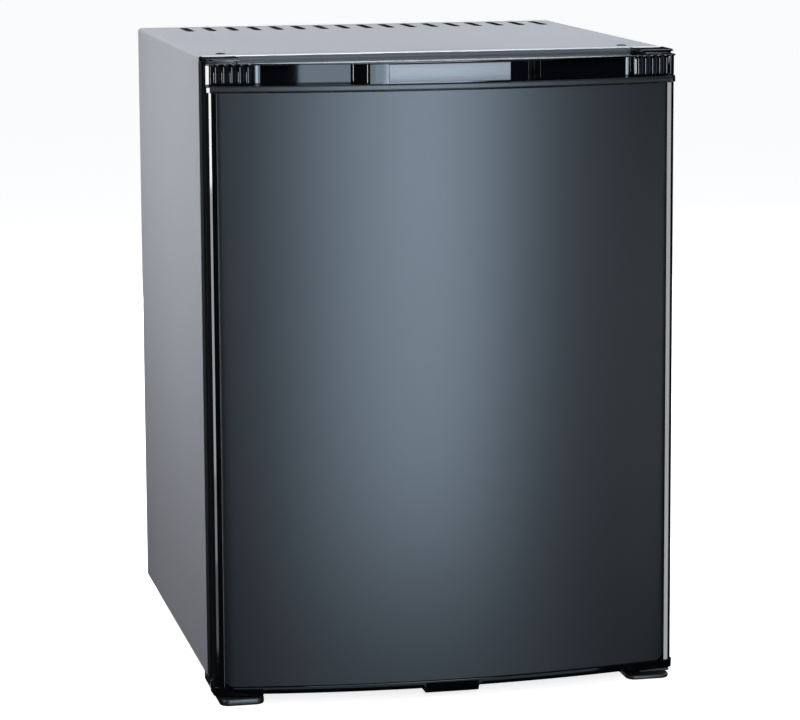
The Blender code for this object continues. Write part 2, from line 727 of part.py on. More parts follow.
def build_corner_covers():
    cover_front = FRAME_FACE - COVER_REACH
    for side in (-1, 1):
        outer = side * HALF_WIDTH
        inner = side * (HALF_WIDTH - COVER_WIDTH)
        x_low, x_high = sorted((outer, inner))
        corner = (COVER_RADIUS, FOOT_EDGE, FOOT_EDGE, FOOT_EDGE)
        if side < 0:
            corner = (FOOT_EDGE, FOOT_EDGE, FOOT_EDGE, COVER_RADIUS)
        outline = rounded(x_low, x_high, cover_front, FRONT - FIT, corner)
        crown = rounded(*grown((x_low, x_high, cover_front, FRONT - FIT), -SHEET), corner)
        name = "top_hinge_cover" if side > 0 else "top_corner_cover_left"
        floor = HINGE_TOP + FIT
        cover = loft(name, [at_z(outline, floor), at_z(outline, CABINET_HEIGHT - SHEET),
                            at_z(crown, CABINET_HEIGHT)], BLACK_GLOSS)
        if side < 0:
            heel = block("left_cover_heel", (x_low, FRAME_FACE + FIT, DOOR_TOP + FIT),
                         (x_high, FRONT - FIT, floor + SHEET / 2))
            fuse(cover, heel)


def build_bottom_hinge():
    x_low, x_high = hinge_span()
    leg_back = FRAME_FACE + FIT + LOWER_PLATE
    nose = AXIS_Y - HINGE_NOSE
    leg_top = LOWER_PLATE_FLOOR + HINGE_LEG
    profile = [(nose, LOWER_PLATE_FLOOR), (nose, LOWER_PLATE_TOP),
               (leg_back - LOWER_PLATE, LOWER_PLATE_TOP), (leg_back - LOWER_PLATE, leg_top),
               (leg_back, leg_top), (leg_back, LOWER_PLATE_FLOOR)]
    plate = loft("bottom_hinge_bracket", [at_x(profile, x_low), at_x(profile, x_high)], BLACK_STEEL)
    cut(plate, rod("bottom_pin_hole", "Z", (AXIS_X, AXIS_Y), PIN_RADIUS + FIT, LOWER_PLATE_FLOOR - SHEET,
                   LOWER_PLATE_TOP + SHEET))
    rod("bottom_hinge_pin", "Z", (AXIS_X, AXIS_Y), PIN_RADIUS, LOWER_PLATE_FLOOR,
        PANEL_BOTTOM - FIT - SHEET, ZINC)


def build_plugs():
    for x, word in plug_places():
        centre = (x, FRONT + PLUG_BEHIND)
        rod("top_plug_" + word, "Z", centre, PLUG_RADIUS, CABINET_HEIGHT - SHEET, CABINET_HEIGHT,
            BLACK_PLASTIC)


def build_evaporator():
    half = EVAPORATOR_WIDTH / 2
    pitch = (EVAPORATOR_WIDTH - FIN_THICKNESS) / (FIN_COUNT - 1)
    tip = EVAPORATOR_FACE - FIN_REACH
    comb = [(half, ROOM_BACK - FIT), (-half, ROOM_BACK - FIT)]
    for index in range(FIN_COUNT):
        left = -half + index * pitch
        right = left + FIN_THICKNESS
        if index > 0:
            comb.append((left, EVAPORATOR_FACE))
        comb += [(left, tip), (right, tip)]
        if index < FIN_COUNT - 1:
            comb.append((right, EVAPORATOR_FACE))
    loft("evaporator_fins", [at_z(comb, EVAPORATOR_BOTTOM), at_z(comb, EVAPORATOR_TOP)], ALUMINIUM)


def build_drip_channel():
    half = EVAPORATOR_WIDTH / 2 + DRIP_OVERHANG
    box = (-half, half, ROOM_BACK - FIT - DRIP_DEPTH, ROOM_BACK - FIT)
    outer_line = rounded(*box, DRIP_WALL * 2)
    inner_line = rounded(*grown(box, -DRIP_WALL), DRIP_WALL)
    loops = [at_z(inner_line, DRIP_FLOOR + DRIP_WALL), at_z(inner_line, DRIP_TOP),
             at_z(outer_line, DRIP_TOP), at_z(outer_line, DRIP_FLOOR)]
    channel = loft("drip_channel", loops, LIGHT_PLASTIC)
    cut(channel, rod("channel_drain_hole", "Y", (DRAIN_X, DRAIN_Z), DRAIN_RADIUS - DRIP_WALL,
                     ROOM_BACK - DRIP_DEPTH / 2, ROOM_BACK + SHEET))


def build_shelves():
    x_reach = ROOM_HALF - SHELF_SIDE_GAP
    front = FRONT + BIN_REACH + DRIP_GAP
    rear = ROOM_BACK - SHELF_SIDE_GAP
    slot_reach = ROOM_HALF - SHELF_BORDER
    for ledge, word in SHELF_LEDGES:
        floor = ledge_level(LEDGE_SHARES[ledge]) + FIT
        top = floor + SHELF_THICKNESS
        profile = [(front, floor), (rear, floor), (rear, top), (front + SHELF_THICKNESS, top),
                   (front + SHELF_THICKNESS, top + SHELF_LIP), (front, top + SHELF_LIP)]
        shelf = loft("shelf_" + word, [at_x(profile, -x_reach), at_x(profile, x_reach)], CLEAR_PLASTIC)
        cut(shelf, slot_row("shelf_slots_" + word, -slot_reach, slot_reach, SHELF_SLOT_WIDTH,
                            front + SHELF_BORDER, rear - SHELF_BORDER, floor, top, SHELF_SLOTS))


def build_controls():
    half = CONTROL_WIDTH / 2
    profile = rounded(-half, half, CONTROL_BOTTOM, CONTROL_TOP, (LENS_PROUD, SHEET, SHEET, LENS_PROUD))
    box = loft("control_box", [at_y(profile, CONTROL_FRONT), at_y(profile, CONTROL_FRONT + CONTROL_DEPTH)],
               LIGHT_PLASTIC)
    centre = (KNOB_OFFSET, (CONTROL_TOP + CONTROL_BOTTOM) / 2)
    cut(box, rod("shaft_hole", "Y", centre, KNOB_SHAFT + FIT, CONTROL_FRONT - SHEET,
                 CONTROL_FRONT + KNOB_SHAFT_LENGTH + SHEET))
    lens_box = (-half + LENS_PROUD, -half + LENS_PROUD + LENS_WIDTH, centre[1] - LENS_HEIGHT / 2,
                centre[1] + LENS_HEIGHT / 2)
    foot = rounded(*lens_box, LENS_PROUD)
    crown = rounded(*grown(lens_box, -LENS_PROUD / 2), LENS_PROUD / 2)
    back = CONTROL_FRONT - FIT
    loft("lamp_lens", [at_y(foot, back), at_y(foot, back - LENS_PROUD / 2), at_y(crown, back - LENS_PROUD)],
         CLEAR_PLASTIC)
    build_knob(centre)


def build_knob(centre):
    steps = KNOB_FLUTES * FLUTE_STEPS
    face = CONTROL_FRONT - FIT

    def fluted(scale):
        points = []
        for step in range(steps):
            angle = 2 * math.pi * step / steps
            radius = KNOB_RADIUS * scale - KNOB_FLUTE_DEPTH * (1 - math.cos(KNOB_FLUTES * angle)) / 2
            points.append((radius * math.cos(angle), radius * math.sin(angle)))
        return points

    axis = bpy.data.objects.new("knob_axis", None)
    bpy.context.scene.collection.objects.link(axis)
    axis.location = (centre[0], face, centre[1])
    shaft = circle((0.0, 0.0), KNOB_SHAFT, steps)
    slim = (KNOB_RADIUS - KNOB_FLUTE_DEPTH * 2) / KNOB_RADIUS
    levels = ((shaft, face + KNOB_SHAFT_LENGTH), (shaft, face), (fluted(1.0), face),
              (fluted(1.0), face - KNOB_DEPTH + SHEET), (fluted(slim), face - KNOB_DEPTH))
    loops = [[(centre[0] + u, y, centre[1] + v) for u, v in outline] for outline, y in levels]
    loft("thermostat_knob", loops, BLACK_PLASTIC, origin=axis.location, parent=axis)


def build_bars():
    for floor, word in ((LOWER_BAR_FLOOR, "lower"), (CONDENSER_Z - BAR_HEIGHT / 2, "upper")):
        low = (-INSIDE, BAR_FRONT, floor)
        high = (INSIDE, BAR_REAR, floor + BAR_HEIGHT)
        block("mounting_bar_" + word, low, high, ZINC)


def build_boiler():
    slim = BOILER_RADIUS - BOILER_SHOULDER
    levels = ((slim, BOILER_FLOOR), (BOILER_RADIUS, BOILER_FLOOR + BOILER_SHOULDER),
              (BOILER_RADIUS, BOILER_TOP - BOILER_SHOULDER), (slim, BOILER_TOP))
    loops = [at_z(circle((BOILER_X, UNIT_Y), radius, DRUM_STEPS), z) for radius, z in levels]
    loft("boiler_jacket", loops, ZINC)
    heater_top = BOILER_FLOOR - FIT
    rod("heater_cartridge", "Z", (BOILER_X, UNIT_Y), HEATER_RADIUS, heater_top - HEATER_LENGTH,
        heater_top, BLACK_STEEL)


def build_terminal_box():
    rear = BACK - TERMINAL_FROM_REAR
    floor = BASE_TOP + FIT
    low = (TERMINAL_LEFT, rear - TERMINAL_DEPTH, floor)
    high = (TERMINAL_RIGHT, rear, floor + TERMINAL_HEIGHT)
    box = block("terminal_box", low, high, BLACK_PLASTIC)
    soften(box, SOFT_EDGE, SOFT_SEGMENTS)
    middle_x = (TERMINAL_LEFT + TERMINAL_RIGHT) / 2
    middle_z = floor + TERMINAL_HEIGHT / 2
    inlet_box = (middle_x - INLET_WIDTH / 2, middle_x + INLET_WIDTH / 2, middle_z - INLET_HEIGHT / 2,
                 middle_z + INLET_HEIGHT / 2)
    outer = rounded(*inlet_box, INLET_WALL)
    inner = rounded(*grown(inlet_box, -INLET_WALL), INLET_WALL / 2)
    start = rear + FIT
    end = start + INLET_PROUD
    loops = [at_y(inner, end - INLET_POCKET), at_y(inner, end), at_y(outer, end), at_y(outer, start)]
    loft("power_inlet", loops, BLACK_PLASTIC)
    lead = [(BOILER_X, UNIT_Y, BOILER_FLOOR - HEATER_LENGTH - 2 * FIT), (BOILER_X, UNIT_Y, LEAD_LEVEL),
            (TERMINAL_LEFT - FIT, UNIT_Y, LEAD_LEVEL)]
    pipe("heater_lead", rounded_route(lead, LEAD_BEND), LEAD_RADIUS, BLACK_PLASTIC)


def build_condenser():
    bm = bmesh.new()
    length = CONDENSER_RIGHT - CONDENSER_LEFT
    margin = length / (CONDENSER_FINS * 2)
    half_y = BOILER_RADIUS
    for index in range(CONDENSER_FINS):
        x = CONDENSER_LEFT + margin + index * (length - 2 * margin) / (CONDENSER_FINS - 1)
        fin = rounded(UNIT_Y - half_y, UNIT_Y + half_y, CONDENSER_Z - CONDENSER_FIN_HEIGHT / 2,
                      CONDENSER_Z + CONDENSER_FIN_HEIGHT / 2, BOILER_SHOULDER / 2, steps=1)
        bridge(bm, [at_x(fin, x - CONDENSER_FIN / 2), at_x(fin, x + CONDENSER_FIN / 2)], False)
    fins = add_mesh("condenser_fin_row", bm, None)
    tube = rod("condenser", "X", (UNIT_Y, CONDENSER_Z), TUBE_RADIUS, CONDENSER_LEFT, CONDENSER_RIGHT,
               ALUMINIUM)
    fuse(tube, fins)


def build_pipes():
    rise = [(BOILER_X, UNIT_Y, BOILER_TOP + FIT), (BOILER_X, UNIT_Y, CONDENSER_Z),
            (CONDENSER_RIGHT + FIT, UNIT_Y, CONDENSER_Z)]
    pipe("rectifier_pipe", rounded_route(rise, TUBE_BEND), TUBE_RADIUS, BLACK_STEEL)
    cold = [(CONDENSER_LEFT - FIT, UNIT_Y, CONDENSER_Z), (COLD_PIPE_LOOP_X, UNIT_Y, CONDENSER_Z),
            (COLD_PIPE_LOOP_X, UNIT_Y, COLD_PIPE_Z), (COLD_PIPE_X, UNIT_Y, COLD_PIPE_Z),
            (COLD_PIPE_X, ROOM_BACK, COLD_PIPE_Z)]
    pipe("evaporator_pipe", rounded_route(cold, TUBE_BEND), TUBE_RADIUS, BLACK_STEEL)
    coil_top = COIL_FLOOR + (COIL_RUNS - 1) * COIL_PITCH
    coil = [(COIL_START_X, UNIT_Y, VESSEL_AXIS + VESSEL_RADIUS + FIT), (COIL_START_X, UNIT_Y, COIL_FLOOR)]
    for run in range(COIL_RUNS):
        z = COIL_FLOOR + run * COIL_PITCH
        far, near = (COIL_RIGHT, COIL_LEFT) if run % 2 == 0 else (COIL_LEFT, COIL_RIGHT)
        if run > 0:
            coil.append((near, UNIT_Y, z))
        coil.append((far, UNIT_Y, z) if run < COIL_RUNS - 1 else (COIL_START_X, UNIT_Y, z))
    exchanger_floor = coil_top + TUBE_BEND + TUBE_RADIUS
    coil.append((COIL_START_X, UNIT_Y, exchanger_floor - FIT))
    pipe("absorber_coil", rounded_route(coil, TUBE_BEND), TUBE_RADIUS, BLACK_STEEL)
    exchanger_top = COLD_PIPE_Z - TUBE_RADIUS - FIT
    levels = ((TUBE_RADIUS, exchanger_floor), (EXCHANGER_RADIUS, exchanger_floor + TUBE_RADIUS),
              (EXCHANGER_RADIUS, exchanger_top - TUBE_RADIUS), (TUBE_RADIUS, exchanger_top))
    loops = [at_z(circle((COIL_START_X, UNIT_Y), radius, ROUND_STEPS), z) for radius, z in levels]
    loft("heat_exchanger", loops, BLACK_STEEL)
    ends = ((VESSEL_RADIUS / 2, 0.0), (VESSEL_RADIUS * VESSEL_DOME, BOILER_SHOULDER / 2),
            (VESSEL_RADIUS, BOILER_SHOULDER))
    rows = [(radius, VESSEL_LEFT + inset) for radius, inset in ends]
    rows += [(radius, VESSEL_RIGHT - inset) for radius, inset in reversed(ends)]
    vessel = [at_x(circle((UNIT_Y, VESSEL_AXIS), radius, DRUM_STEPS), x) for radius, x in rows]
    loft("absorber_vessel", vessel, BLACK_STEEL)


def build_drain():
    dish_front = PANEL_FACE + SHEET + DISH_BEHIND_PANEL
    dish_floor = VESSEL_AXIS + VESSEL_RADIUS + FIT
    tube_y = dish_front + DRAIN_BEND
    route = [(DRAIN_X, ROOM_BACK, DRAIN_Z), (DRAIN_X, tube_y, DRAIN_Z),
             (DRAIN_X, tube_y, dish_floor + DISH_HEIGHT - DISH_WALL)]
    pipe("drain_tube", rounded_route(route, DRAIN_BEND), DRAIN_RADIUS, LIGHT_PLASTIC)
    box = (DISH_LEFT, DISH_RIGHT, dish_front, dish_front + DISH_REACH)
    outer = rounded(*box, BOILER_SHOULDER)
    inner = rounded(*grown(box, -DISH_WALL), BOILER_SHOULDER - DISH_WALL)
    rim = dish_floor + DISH_HEIGHT
    loops = [at_z(inner, dish_floor + DISH_WALL), at_z(inner, rim), at_z(outer, rim),
             at_z(outer, dish_floor)]
    loft("evaporation_dish", loops, BLACK_PLASTIC)


def make_door_axis():
    axis = bpy.data.objects.new("door_axis", None)
    bpy.context.scene.collection.objects.link(axis)
    axis.location = (AXIS_X, AXIS_Y, 0.0)
    return axis


def build_door_panel(door):
    reach = HALF_WIDTH - TRIM_WIDTH - FIT
    stations = mirrored(spread(0.0, reach - PANEL_CORNER, PANEL_STEPS) + end_stations(reach, PANEL_CORNER))
    loops = []
    for x in stations:
        front = door_front(x)
        lift = corner_setback(x, reach, PANEL_CORNER)
        low = PANEL_BOTTOM + lift
        loops.append(at_x([(front, low), (front, PANEL_TOP - FIT), (front + PANEL_SKIN, PANEL_TOP - FIT),
                           (front + PANEL_SKIN, low)], x))
    loft("door_panel", loops, CHARCOAL, origin=(0.0, DOOR_EDGE_Y, PANEL_BOTTOM), parent=door)


def trim_outline():
    """Plan section of the right edge trim: outer wall with two rounded corners and a front flange."""
    outer = HALF_WIDTH - TRIM_INSET
    inner = HALF_WIDTH - TRIM_WIDTH
    points = []
    for step in range(CORNER_STEPS + 1):
        angle = math.pi / 2 * step / CORNER_STEPS
        points.append((outer - BACK_RADIUS + BACK_RADIUS * math.sin(angle),
                       DOOR_BACK - BACK_RADIUS + BACK_RADIUS * math.cos(angle)))
    corner_x = outer - EDGE_RADIUS
    corner_y = door_front(corner_x) + EDGE_RADIUS
    for step in range(CORNER_STEPS + 2):
        angle = math.pi / 2 * step / (CORNER_STEPS + 1)
        points.append((corner_x + EDGE_RADIUS * math.cos(angle), corner_y - EDGE_RADIUS * math.sin(angle)))
    points.append((inner, door_front(inner)))
    points.append((inner, door_front(inner) + TRIM_FLANGE))
    points.append((outer - TRIM_WALL, door_front(inner) + TRIM_FLANGE))
    points.append((outer - TRIM_WALL, DOOR_BACK - DOOR_LINER))
    points.append((outer - BACK_RADIUS, DOOR_BACK - DOOR_LINER))
    return points


def build_trims(door):
    for side, word in ((-1, "left"), (1, "right")):
        outline = [(side * x, y) for x, y in trim_outline()]
        loft("door_side_trim_" + word, [at_z(outline, PANEL_BOTTOM), at_z(outline, PANEL_TOP - FIT)],
             BLACK_GLOSS, origin=(side * HALF_WIDTH, DOOR_BACK, PANEL_BOTTOM), parent=door)


def channel_recess(x):
    """Depth of the top channel behind the front of the door at x."""
    distance = abs(x)
    corner = HALF_WIDTH - CORNER_BLOCK
    if distance < corner:
        share = blend((distance - HANDLE_HALF) / HANDLE_BLEND)
        return PLATE_SEAT + (CHANNEL_DEPTH - PLATE_SEAT) * share
    if distance < corner + CORNER_BLEND:
        share = blend((distance - corner) / CORNER_BLEND)
        return CHANNEL_DEPTH + (CORNER_RECESS - CHANNEL_DEPTH) * share
    run = (distance - corner - CORNER_BLEND) / RIB_PITCH
    if run < RIB_COUNT:
        return CORNER_RECESS - RIB_HEIGHT * abs(math.sin(math.pi * run))
    return CORNER_RECESS


def top_stations():
    corner = HALF_WIDTH - CORNER_BLOCK
    rib_start = corner + CORNER_BLEND
    rib_end = rib_start + RIB_COUNT * RIB_PITCH
    stations = spread(0.0, HANDLE_HALF, HANDLE_STEPS)
    stations += spread(HANDLE_HALF, HANDLE_HALF + HANDLE_BLEND, BLEND_STEPS)
    stations += spread(HANDLE_HALF + HANDLE_BLEND, corner, CHANNEL_STEPS)
    stations += spread(corner, rib_start, BLOCK_STEPS)
    stations += spread(rib_start, rib_end, RIB_COUNT * RIB_STEPS)
    stations += [x for x in end_stations(HALF_WIDTH, EDGE_RADIUS) if x > rib_end + STEP_RUN]
    return mirrored(stations)


def build_top_moulding(door):
    floor = PANEL_TOP
    lip_top = floor + LIP_HEIGHT
    rail_floor = DOOR_TOP - TOP_RAIL
    loops = []
    for x in top_stations():
        front = door_front(x) + corner_setback(x, HALF_WIDTH, EDGE_RADIUS)
        back = DOOR_BACK - corner_setback(x, HALF_WIDTH, BACK_RADIUS)
        deep = front + channel_recess(x)
        section = [(back, floor), (front, floor), (front, lip_top - LIP_CHAMFER),
                   (front + LIP_CHAMFER / 2, lip_top), (deep, lip_top + FIT), (deep, rail_floor),
                   (front + FIT, rail_floor), (front, DOOR_TOP - TOP_RAIL / 2),
                   (front + LIP_CHAMFER / 2, DOOR_TOP), (back, DOOR_TOP)]
        loops.append(at_x(section, x))
    origin = (0.0, DOOR_BACK, PANEL_TOP)
    moulding = loft("door_top_moulding", loops, BLACK_GLOSS, origin=origin, parent=door)
    cut(moulding, rod("top_bush_bore", "Z", (AXIS_X, AXIS_Y), BUSH_RADIUS + FIT, DOOR_TOP - BUSH_DEPTH,
                      DOOR_TOP + SHEET, steps=BORE_STEPS, parent=door))


def build_handle_plate(door):
    stations = mirrored(spread(0.0, PLATE_HALF, BLEND_STEPS))
    low = PANEL_TOP + LIP_HEIGHT + 2 * PLATE_RIM
    high = DOOR_TOP - TOP_RAIL - PLATE_RIM
    loops = []
    for x in stations:
        back = door_front(x) + PLATE_SEAT - FIT
        front = back - PLATE_THICKNESS
        loops.append(at_x([(front, low), (front, high), (back, high), (back, low)], x))
    loft("handle_plate", loops, SATIN_METAL, origin=(0.0, door_front(0.0), low), parent=door)


def bottom_level(x):
    """Underside of the bottom moulding at x: a centre tab, a plain run and a lower corner block."""
    distance = abs(x)
    if distance <= TAB_HALF:
        return DOOR_BOTTOM - TAB_DROP
    if distance <= HALF_WIDTH - CORNER_BLOCK:
        return DOOR_BOTTOM
    return CORNER_BOTTOM


def build_bottom_moulding(door):
    """Lower moulding; behind each lower corner of the panel it rises to fill what the round leaves open."""
    corner = HALF_WIDTH - CORNER_BLOCK
    panel_reach = HALF_WIDTH - TRIM_WIDTH - FIT
    stations = spread(0.0, TAB_HALF, TAB_STEPS) + spread(TAB_HALF + STEP_RUN, corner, UNDERSIDE_STEPS)
    stations += spread(corner + STEP_RUN, HALF_WIDTH - EDGE_RADIUS, BLOCK_STEPS)
    stations += end_stations(panel_reach, PANEL_CORNER) + [panel_reach + STEP_RUN / 2]
    stations += end_stations(HALF_WIDTH, EDGE_RADIUS)
    top = PANEL_BOTTOM - FIT
    loops = []
    for x in mirrored(stations):
        front = door_front(x) + corner_setback(x, HALF_WIDTH, EDGE_RADIUS)
        back = DOOR_BACK - corner_setback(x, HALF_WIDTH, BACK_RADIUS)
        low = bottom_level(x)
        crest = top
        if abs(x) < panel_reach + STEP_RUN / 4:
            crest += corner_setback(x, panel_reach + FIT, PANEL_CORNER + FIT)
        section = [(back, low), (front + SHEET, low), (front, low + SHEET), (front, crest),
                   (front + PANEL_SKIN, crest), (front + PANEL_SKIN, top), (back, top)]
        loops.append(at_x(section, x))
    origin = (0.0, DOOR_BACK, DOOR_BOTTOM)
    moulding = loft("door_bottom_moulding", loops, BLACK_GLOSS, origin=origin, parent=door)
    cut(moulding, rod("bottom_bush_bore", "Z", (AXIS_X, AXIS_Y), BUSH_RADIUS + FIT, 0.0,
                      PANEL_BOTTOM + SHEET, steps=BORE_STEPS, parent=door))


def build_door_foam(door):
    wall = HALF_WIDTH - TRIM_INSET - TRIM_WALL - FIT
    flange = HALF_WIDTH - TRIM_WIDTH
    shoulder = door_front(flange) + TRIM_FLANGE + FIT
    back = DOOR_BACK - DOOR_LINER - FIT
    half = [(wall, back), (wall, shoulder), (flange - FIT, shoulder)]
    for x in spread(flange - FIT, 0.0, FOAM_STEPS):
        half.append((x, door_front(x) + PANEL_SKIN + FIT))
    outline = half + [(-x, y) for x, y in reversed(half[:-1])]
    loft("door_foam", [at_z(outline, PANEL_BOTTOM), at_z(outline, PANEL_TOP - FIT)], FOAM,
         origin=(0.0, DOOR_BACK, PANEL_BOTTOM), parent=door)


def rim_box():
    return grown(room_box(), -RIM_CLEARANCE)


def build_door_liner(door):
    wall = HALF_WIDTH - TRIM_INSET - BACK_RADIUS - FIT
    sheet = rounded(-wall, wall, PANEL_BOTTOM, PANEL_TOP - FIT, BACK_RADIUS)
    outer = rounded(*rim_box(), ROOM_RADIUS)
    inner = rounded(*grown(rim_box(), -RIM_WALL), ROOM_RADIUS - RIM_WALL)
    crown = FRAME_FACE + RIM_REACH
    front = DOOR_BACK - DOOR_LINER
    loops = [at_y(sheet, front), at_y(sheet, DOOR_BACK), at_y(outer, DOOR_BACK), at_y(outer, crown),
             at_y(inner, crown), at_y(inner, DOOR_BACK)]
    loft("door_inner_liner", loops, LIGHT_PLASTIC, origin=(0.0, DOOR_BACK, PANEL_BOTTOM), parent=door)


def build_gasket(door):
    inner_edge = grown(room_box(), SEAL_OFFSET)
    low = DOOR_BACK + FIT
    high = FRAME_FACE - FIT
    loops = []
    for across, through in SEAL_SECTION:
        edge = rounded(*grown(inner_edge, SEAL_WIDTH * across), SEAL_WIDTH)
        loops.append(at_y(edge, low + (high - low) * through))
    loft("door_gasket", loops, RUBBER, closed=True, origin=(0.0, DOOR_BACK, ROOM_FLOOR), parent=door)


def build_bins(door):
    reach = ROOM_HALF - RIM_WALL - BIN_SIDE_GAP
    front = DOOR_BACK + FIT
    rear = FRONT + BIN_REACH
    bins = ((LOWER_BIN_FLOOR, LOWER_BIN_HEIGHT, "lower"), (UPPER_BIN_FLOOR, UPPER_BIN_HEIGHT, "upper"))
    for floor, height, word in bins:
        top_box = (-reach, reach, front, rear)
        low_box = (-reach + BIN_DRAFT, reach - BIN_DRAFT, front, rear - BIN_DRAFT)
        corners = (FOOT_EDGE, BIN_RADIUS, BIN_RADIUS, FOOT_EDGE)
        inside = (FOOT_EDGE, BIN_RADIUS - BIN_WALL, BIN_RADIUS - BIN_WALL, FOOT_EDGE)
        loops = [at_z(rounded(*grown(low_box, -BIN_WALL), inside), floor + BIN_WALL),
                 at_z(rounded(*grown(top_box, -BIN_WALL), inside), floor + height),
                 at_z(rounded(*top_box, corners), floor + height),
                 at_z(rounded(*low_box, corners), floor)]
        loft("door_bin_" + word, loops, CLEAR_PLASTIC, origin=(0.0, front, floor), parent=door)
    level = LOWER_BIN_FLOOR + LOWER_BIN_HEIGHT + RAIL_RISE
    start = DOOR_BACK + FIT
    side = reach - RAIL_RADIUS
    end = rear - RAIL_RADIUS
    route = [(-side, start, level), (-side, end, level), (side, end, level), (side, start, level)]
    pipe("bottle_rail", rounded_route(route, BIN_RADIUS), RAIL_RADIUS, ALUMINIUM, parent=door)


def build_bushes(door):
    spans = (("door_bush_top", DOOR_TOP - BUSH_DEPTH + FIT, DOOR_TOP),
             ("door_bush_bottom", LOWER_PLATE_TOP + FIT, PANEL_BOTTOM - FIT))
    outer = circle((AXIS_X, AXIS_Y), BUSH_RADIUS, ROUND_STEPS)
    inner = circle((AXIS_X, AXIS_Y), PIN_RADIUS + FIT, ROUND_STEPS)
    for name, low, high in spans:
        loops = [at_z(inner, low), at_z(inner, high), at_z(outer, high), at_z(outer, low)]
        loft(name, loops, LIGHT_PLASTIC, closed=True, origin=(AXIS_X, AXIS_Y, low), parent=door)


def build_door():
    door = make_door_axis()
    build_door_panel(door)
    build_trims(door)
    build_top_moulding(door)
    build_handle_plate(door)
    build_bottom_moulding(door)
    build_door_foam(door)
    build_door_liner(door)
    build_gasket(door)
    build_bins(door)
    build_bushes(door)


def build_cabinet():
    build_shell()
    build_front_frame()
    build_inner_liner()
    build_foam()
    build_back_panel()
    build_base_plate()
    build_feet()
    build_top_hinge()
    build_corner_covers()
    build_bottom_hinge()
    build_plugs()
    build_evaporator()
    build_drip_channel()
    build_shelves()
    build_controls()


def build_cooling_unit():
    build_bars()
    build_boiler()
    build_terminal_box()
    build_condenser()
    build_pipes()
    build_drain()


clear_scene()
build_cabinet()
build_cooling_unit()
build_door()
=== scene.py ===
"""Looks of the minibar fridge: studio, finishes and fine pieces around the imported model.

Metres, +Z up, front towards -Y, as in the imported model.
"""

import json
import math

import bmesh
import bpy
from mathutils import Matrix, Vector


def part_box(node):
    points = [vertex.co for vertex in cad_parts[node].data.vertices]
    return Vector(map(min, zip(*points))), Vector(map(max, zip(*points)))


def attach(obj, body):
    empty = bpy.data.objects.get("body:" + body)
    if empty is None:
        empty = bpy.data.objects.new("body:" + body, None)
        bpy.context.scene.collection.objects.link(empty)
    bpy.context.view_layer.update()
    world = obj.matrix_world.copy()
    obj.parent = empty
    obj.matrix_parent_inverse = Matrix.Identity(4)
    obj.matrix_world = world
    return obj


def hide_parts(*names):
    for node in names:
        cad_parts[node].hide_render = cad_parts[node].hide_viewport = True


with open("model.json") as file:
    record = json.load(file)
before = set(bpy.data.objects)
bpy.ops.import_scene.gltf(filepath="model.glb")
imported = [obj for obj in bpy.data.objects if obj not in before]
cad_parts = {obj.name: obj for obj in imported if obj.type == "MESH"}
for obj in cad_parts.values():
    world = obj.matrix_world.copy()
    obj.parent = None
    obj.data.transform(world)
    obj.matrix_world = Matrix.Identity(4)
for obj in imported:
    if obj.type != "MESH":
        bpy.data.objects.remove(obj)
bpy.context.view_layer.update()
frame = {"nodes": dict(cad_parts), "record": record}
NODES = frame["nodes"]

# Camera: place, aim and lens, worked out from the edges of the fridge in the photograph
CAMERA_PLACE = (-0.5882, -2.7305, 0.7327)
CAMERA_YAW = 12.28
CAMERA_PITCH = 8.447
CAMERA_ROLL = 0.331
CAMERA_CLIP = (0.05, 100.0)
PICTURE_WIDTH = 800.0
SENSOR = 36.0
FOCAL_PIXELS = 3127.5
CENTRE_SHIFT = (0.0, -70.0)

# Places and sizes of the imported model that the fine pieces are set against
HALF_WIDTH = 0.201
TOP = 0.5445
FRONT = -0.16025
BACK = 0.21975
FRAME_FACE = -0.16625
DOOR_BACK = -0.17125
DOOR_EDGE_Y = -0.19725
DOOR_BOW = 0.0225
BOW_RADIUS = (HALF_WIDTH ** 2 + DOOR_BOW ** 2) / (2 * DOOR_BOW)
DOOR_TOP = 0.5405
DOOR_BOTTOM = 0.0085
PANEL_BOTTOM = 0.0152
TOP_RAIL = 0.0014
LIP_HEIGHT = 0.0053
CHANNEL_HEIGHT = 0.0168
RAIL_FLOOR = DOOR_TOP - TOP_RAIL
PANEL_TOP = RAIL_FLOOR - CHANNEL_HEIGHT - LIP_HEIGHT
LIP_TOP = PANEL_TOP + LIP_HEIGHT
TRIM_WIDTH = 0.0085
TRIM_INSET = 0.0016
PANEL_SKIN = 0.0014
PANEL_CORNER = 0.0085
EDGE_RADIUS = 0.004
BACK_RADIUS = 0.003
CORNER_BLOCK = 0.041

# Gap between pieces, and the small steps that keep loops of points apart
FIT = 0.0003
STRIP = 0.0002
STEP = 0.0001
MERGE = 0.000002
STATION_DIGITS = 7

# Outer corners of the door front: a flat facet that catches the light, and a small round behind it
FACET_TILT = math.radians(25.4)
FACET_COS, FACET_SIN = math.cos(FACET_TILT), math.sin(FACET_TILT)
FACET_ROUND = 0.0014
FACET_STEPS = 7
BLOCK_FACET = 0.0029
TRIM_FACET = 0.0021

# Steps of rounded ends and edges, and the angles above which an edge is shaded sharp
CORNER_STEPS = 10
END_STEPS = 6
EDGE_STEPS = 4
ROUND_STEPS = 8
FEW_STEPS = 3
SHARP = 38
SHARP_LENS = 25
SHARP_DIAL = 30
SHARP_MOULDING = 50
SHARP_STRIP = 60
SHARP_HEM = 70


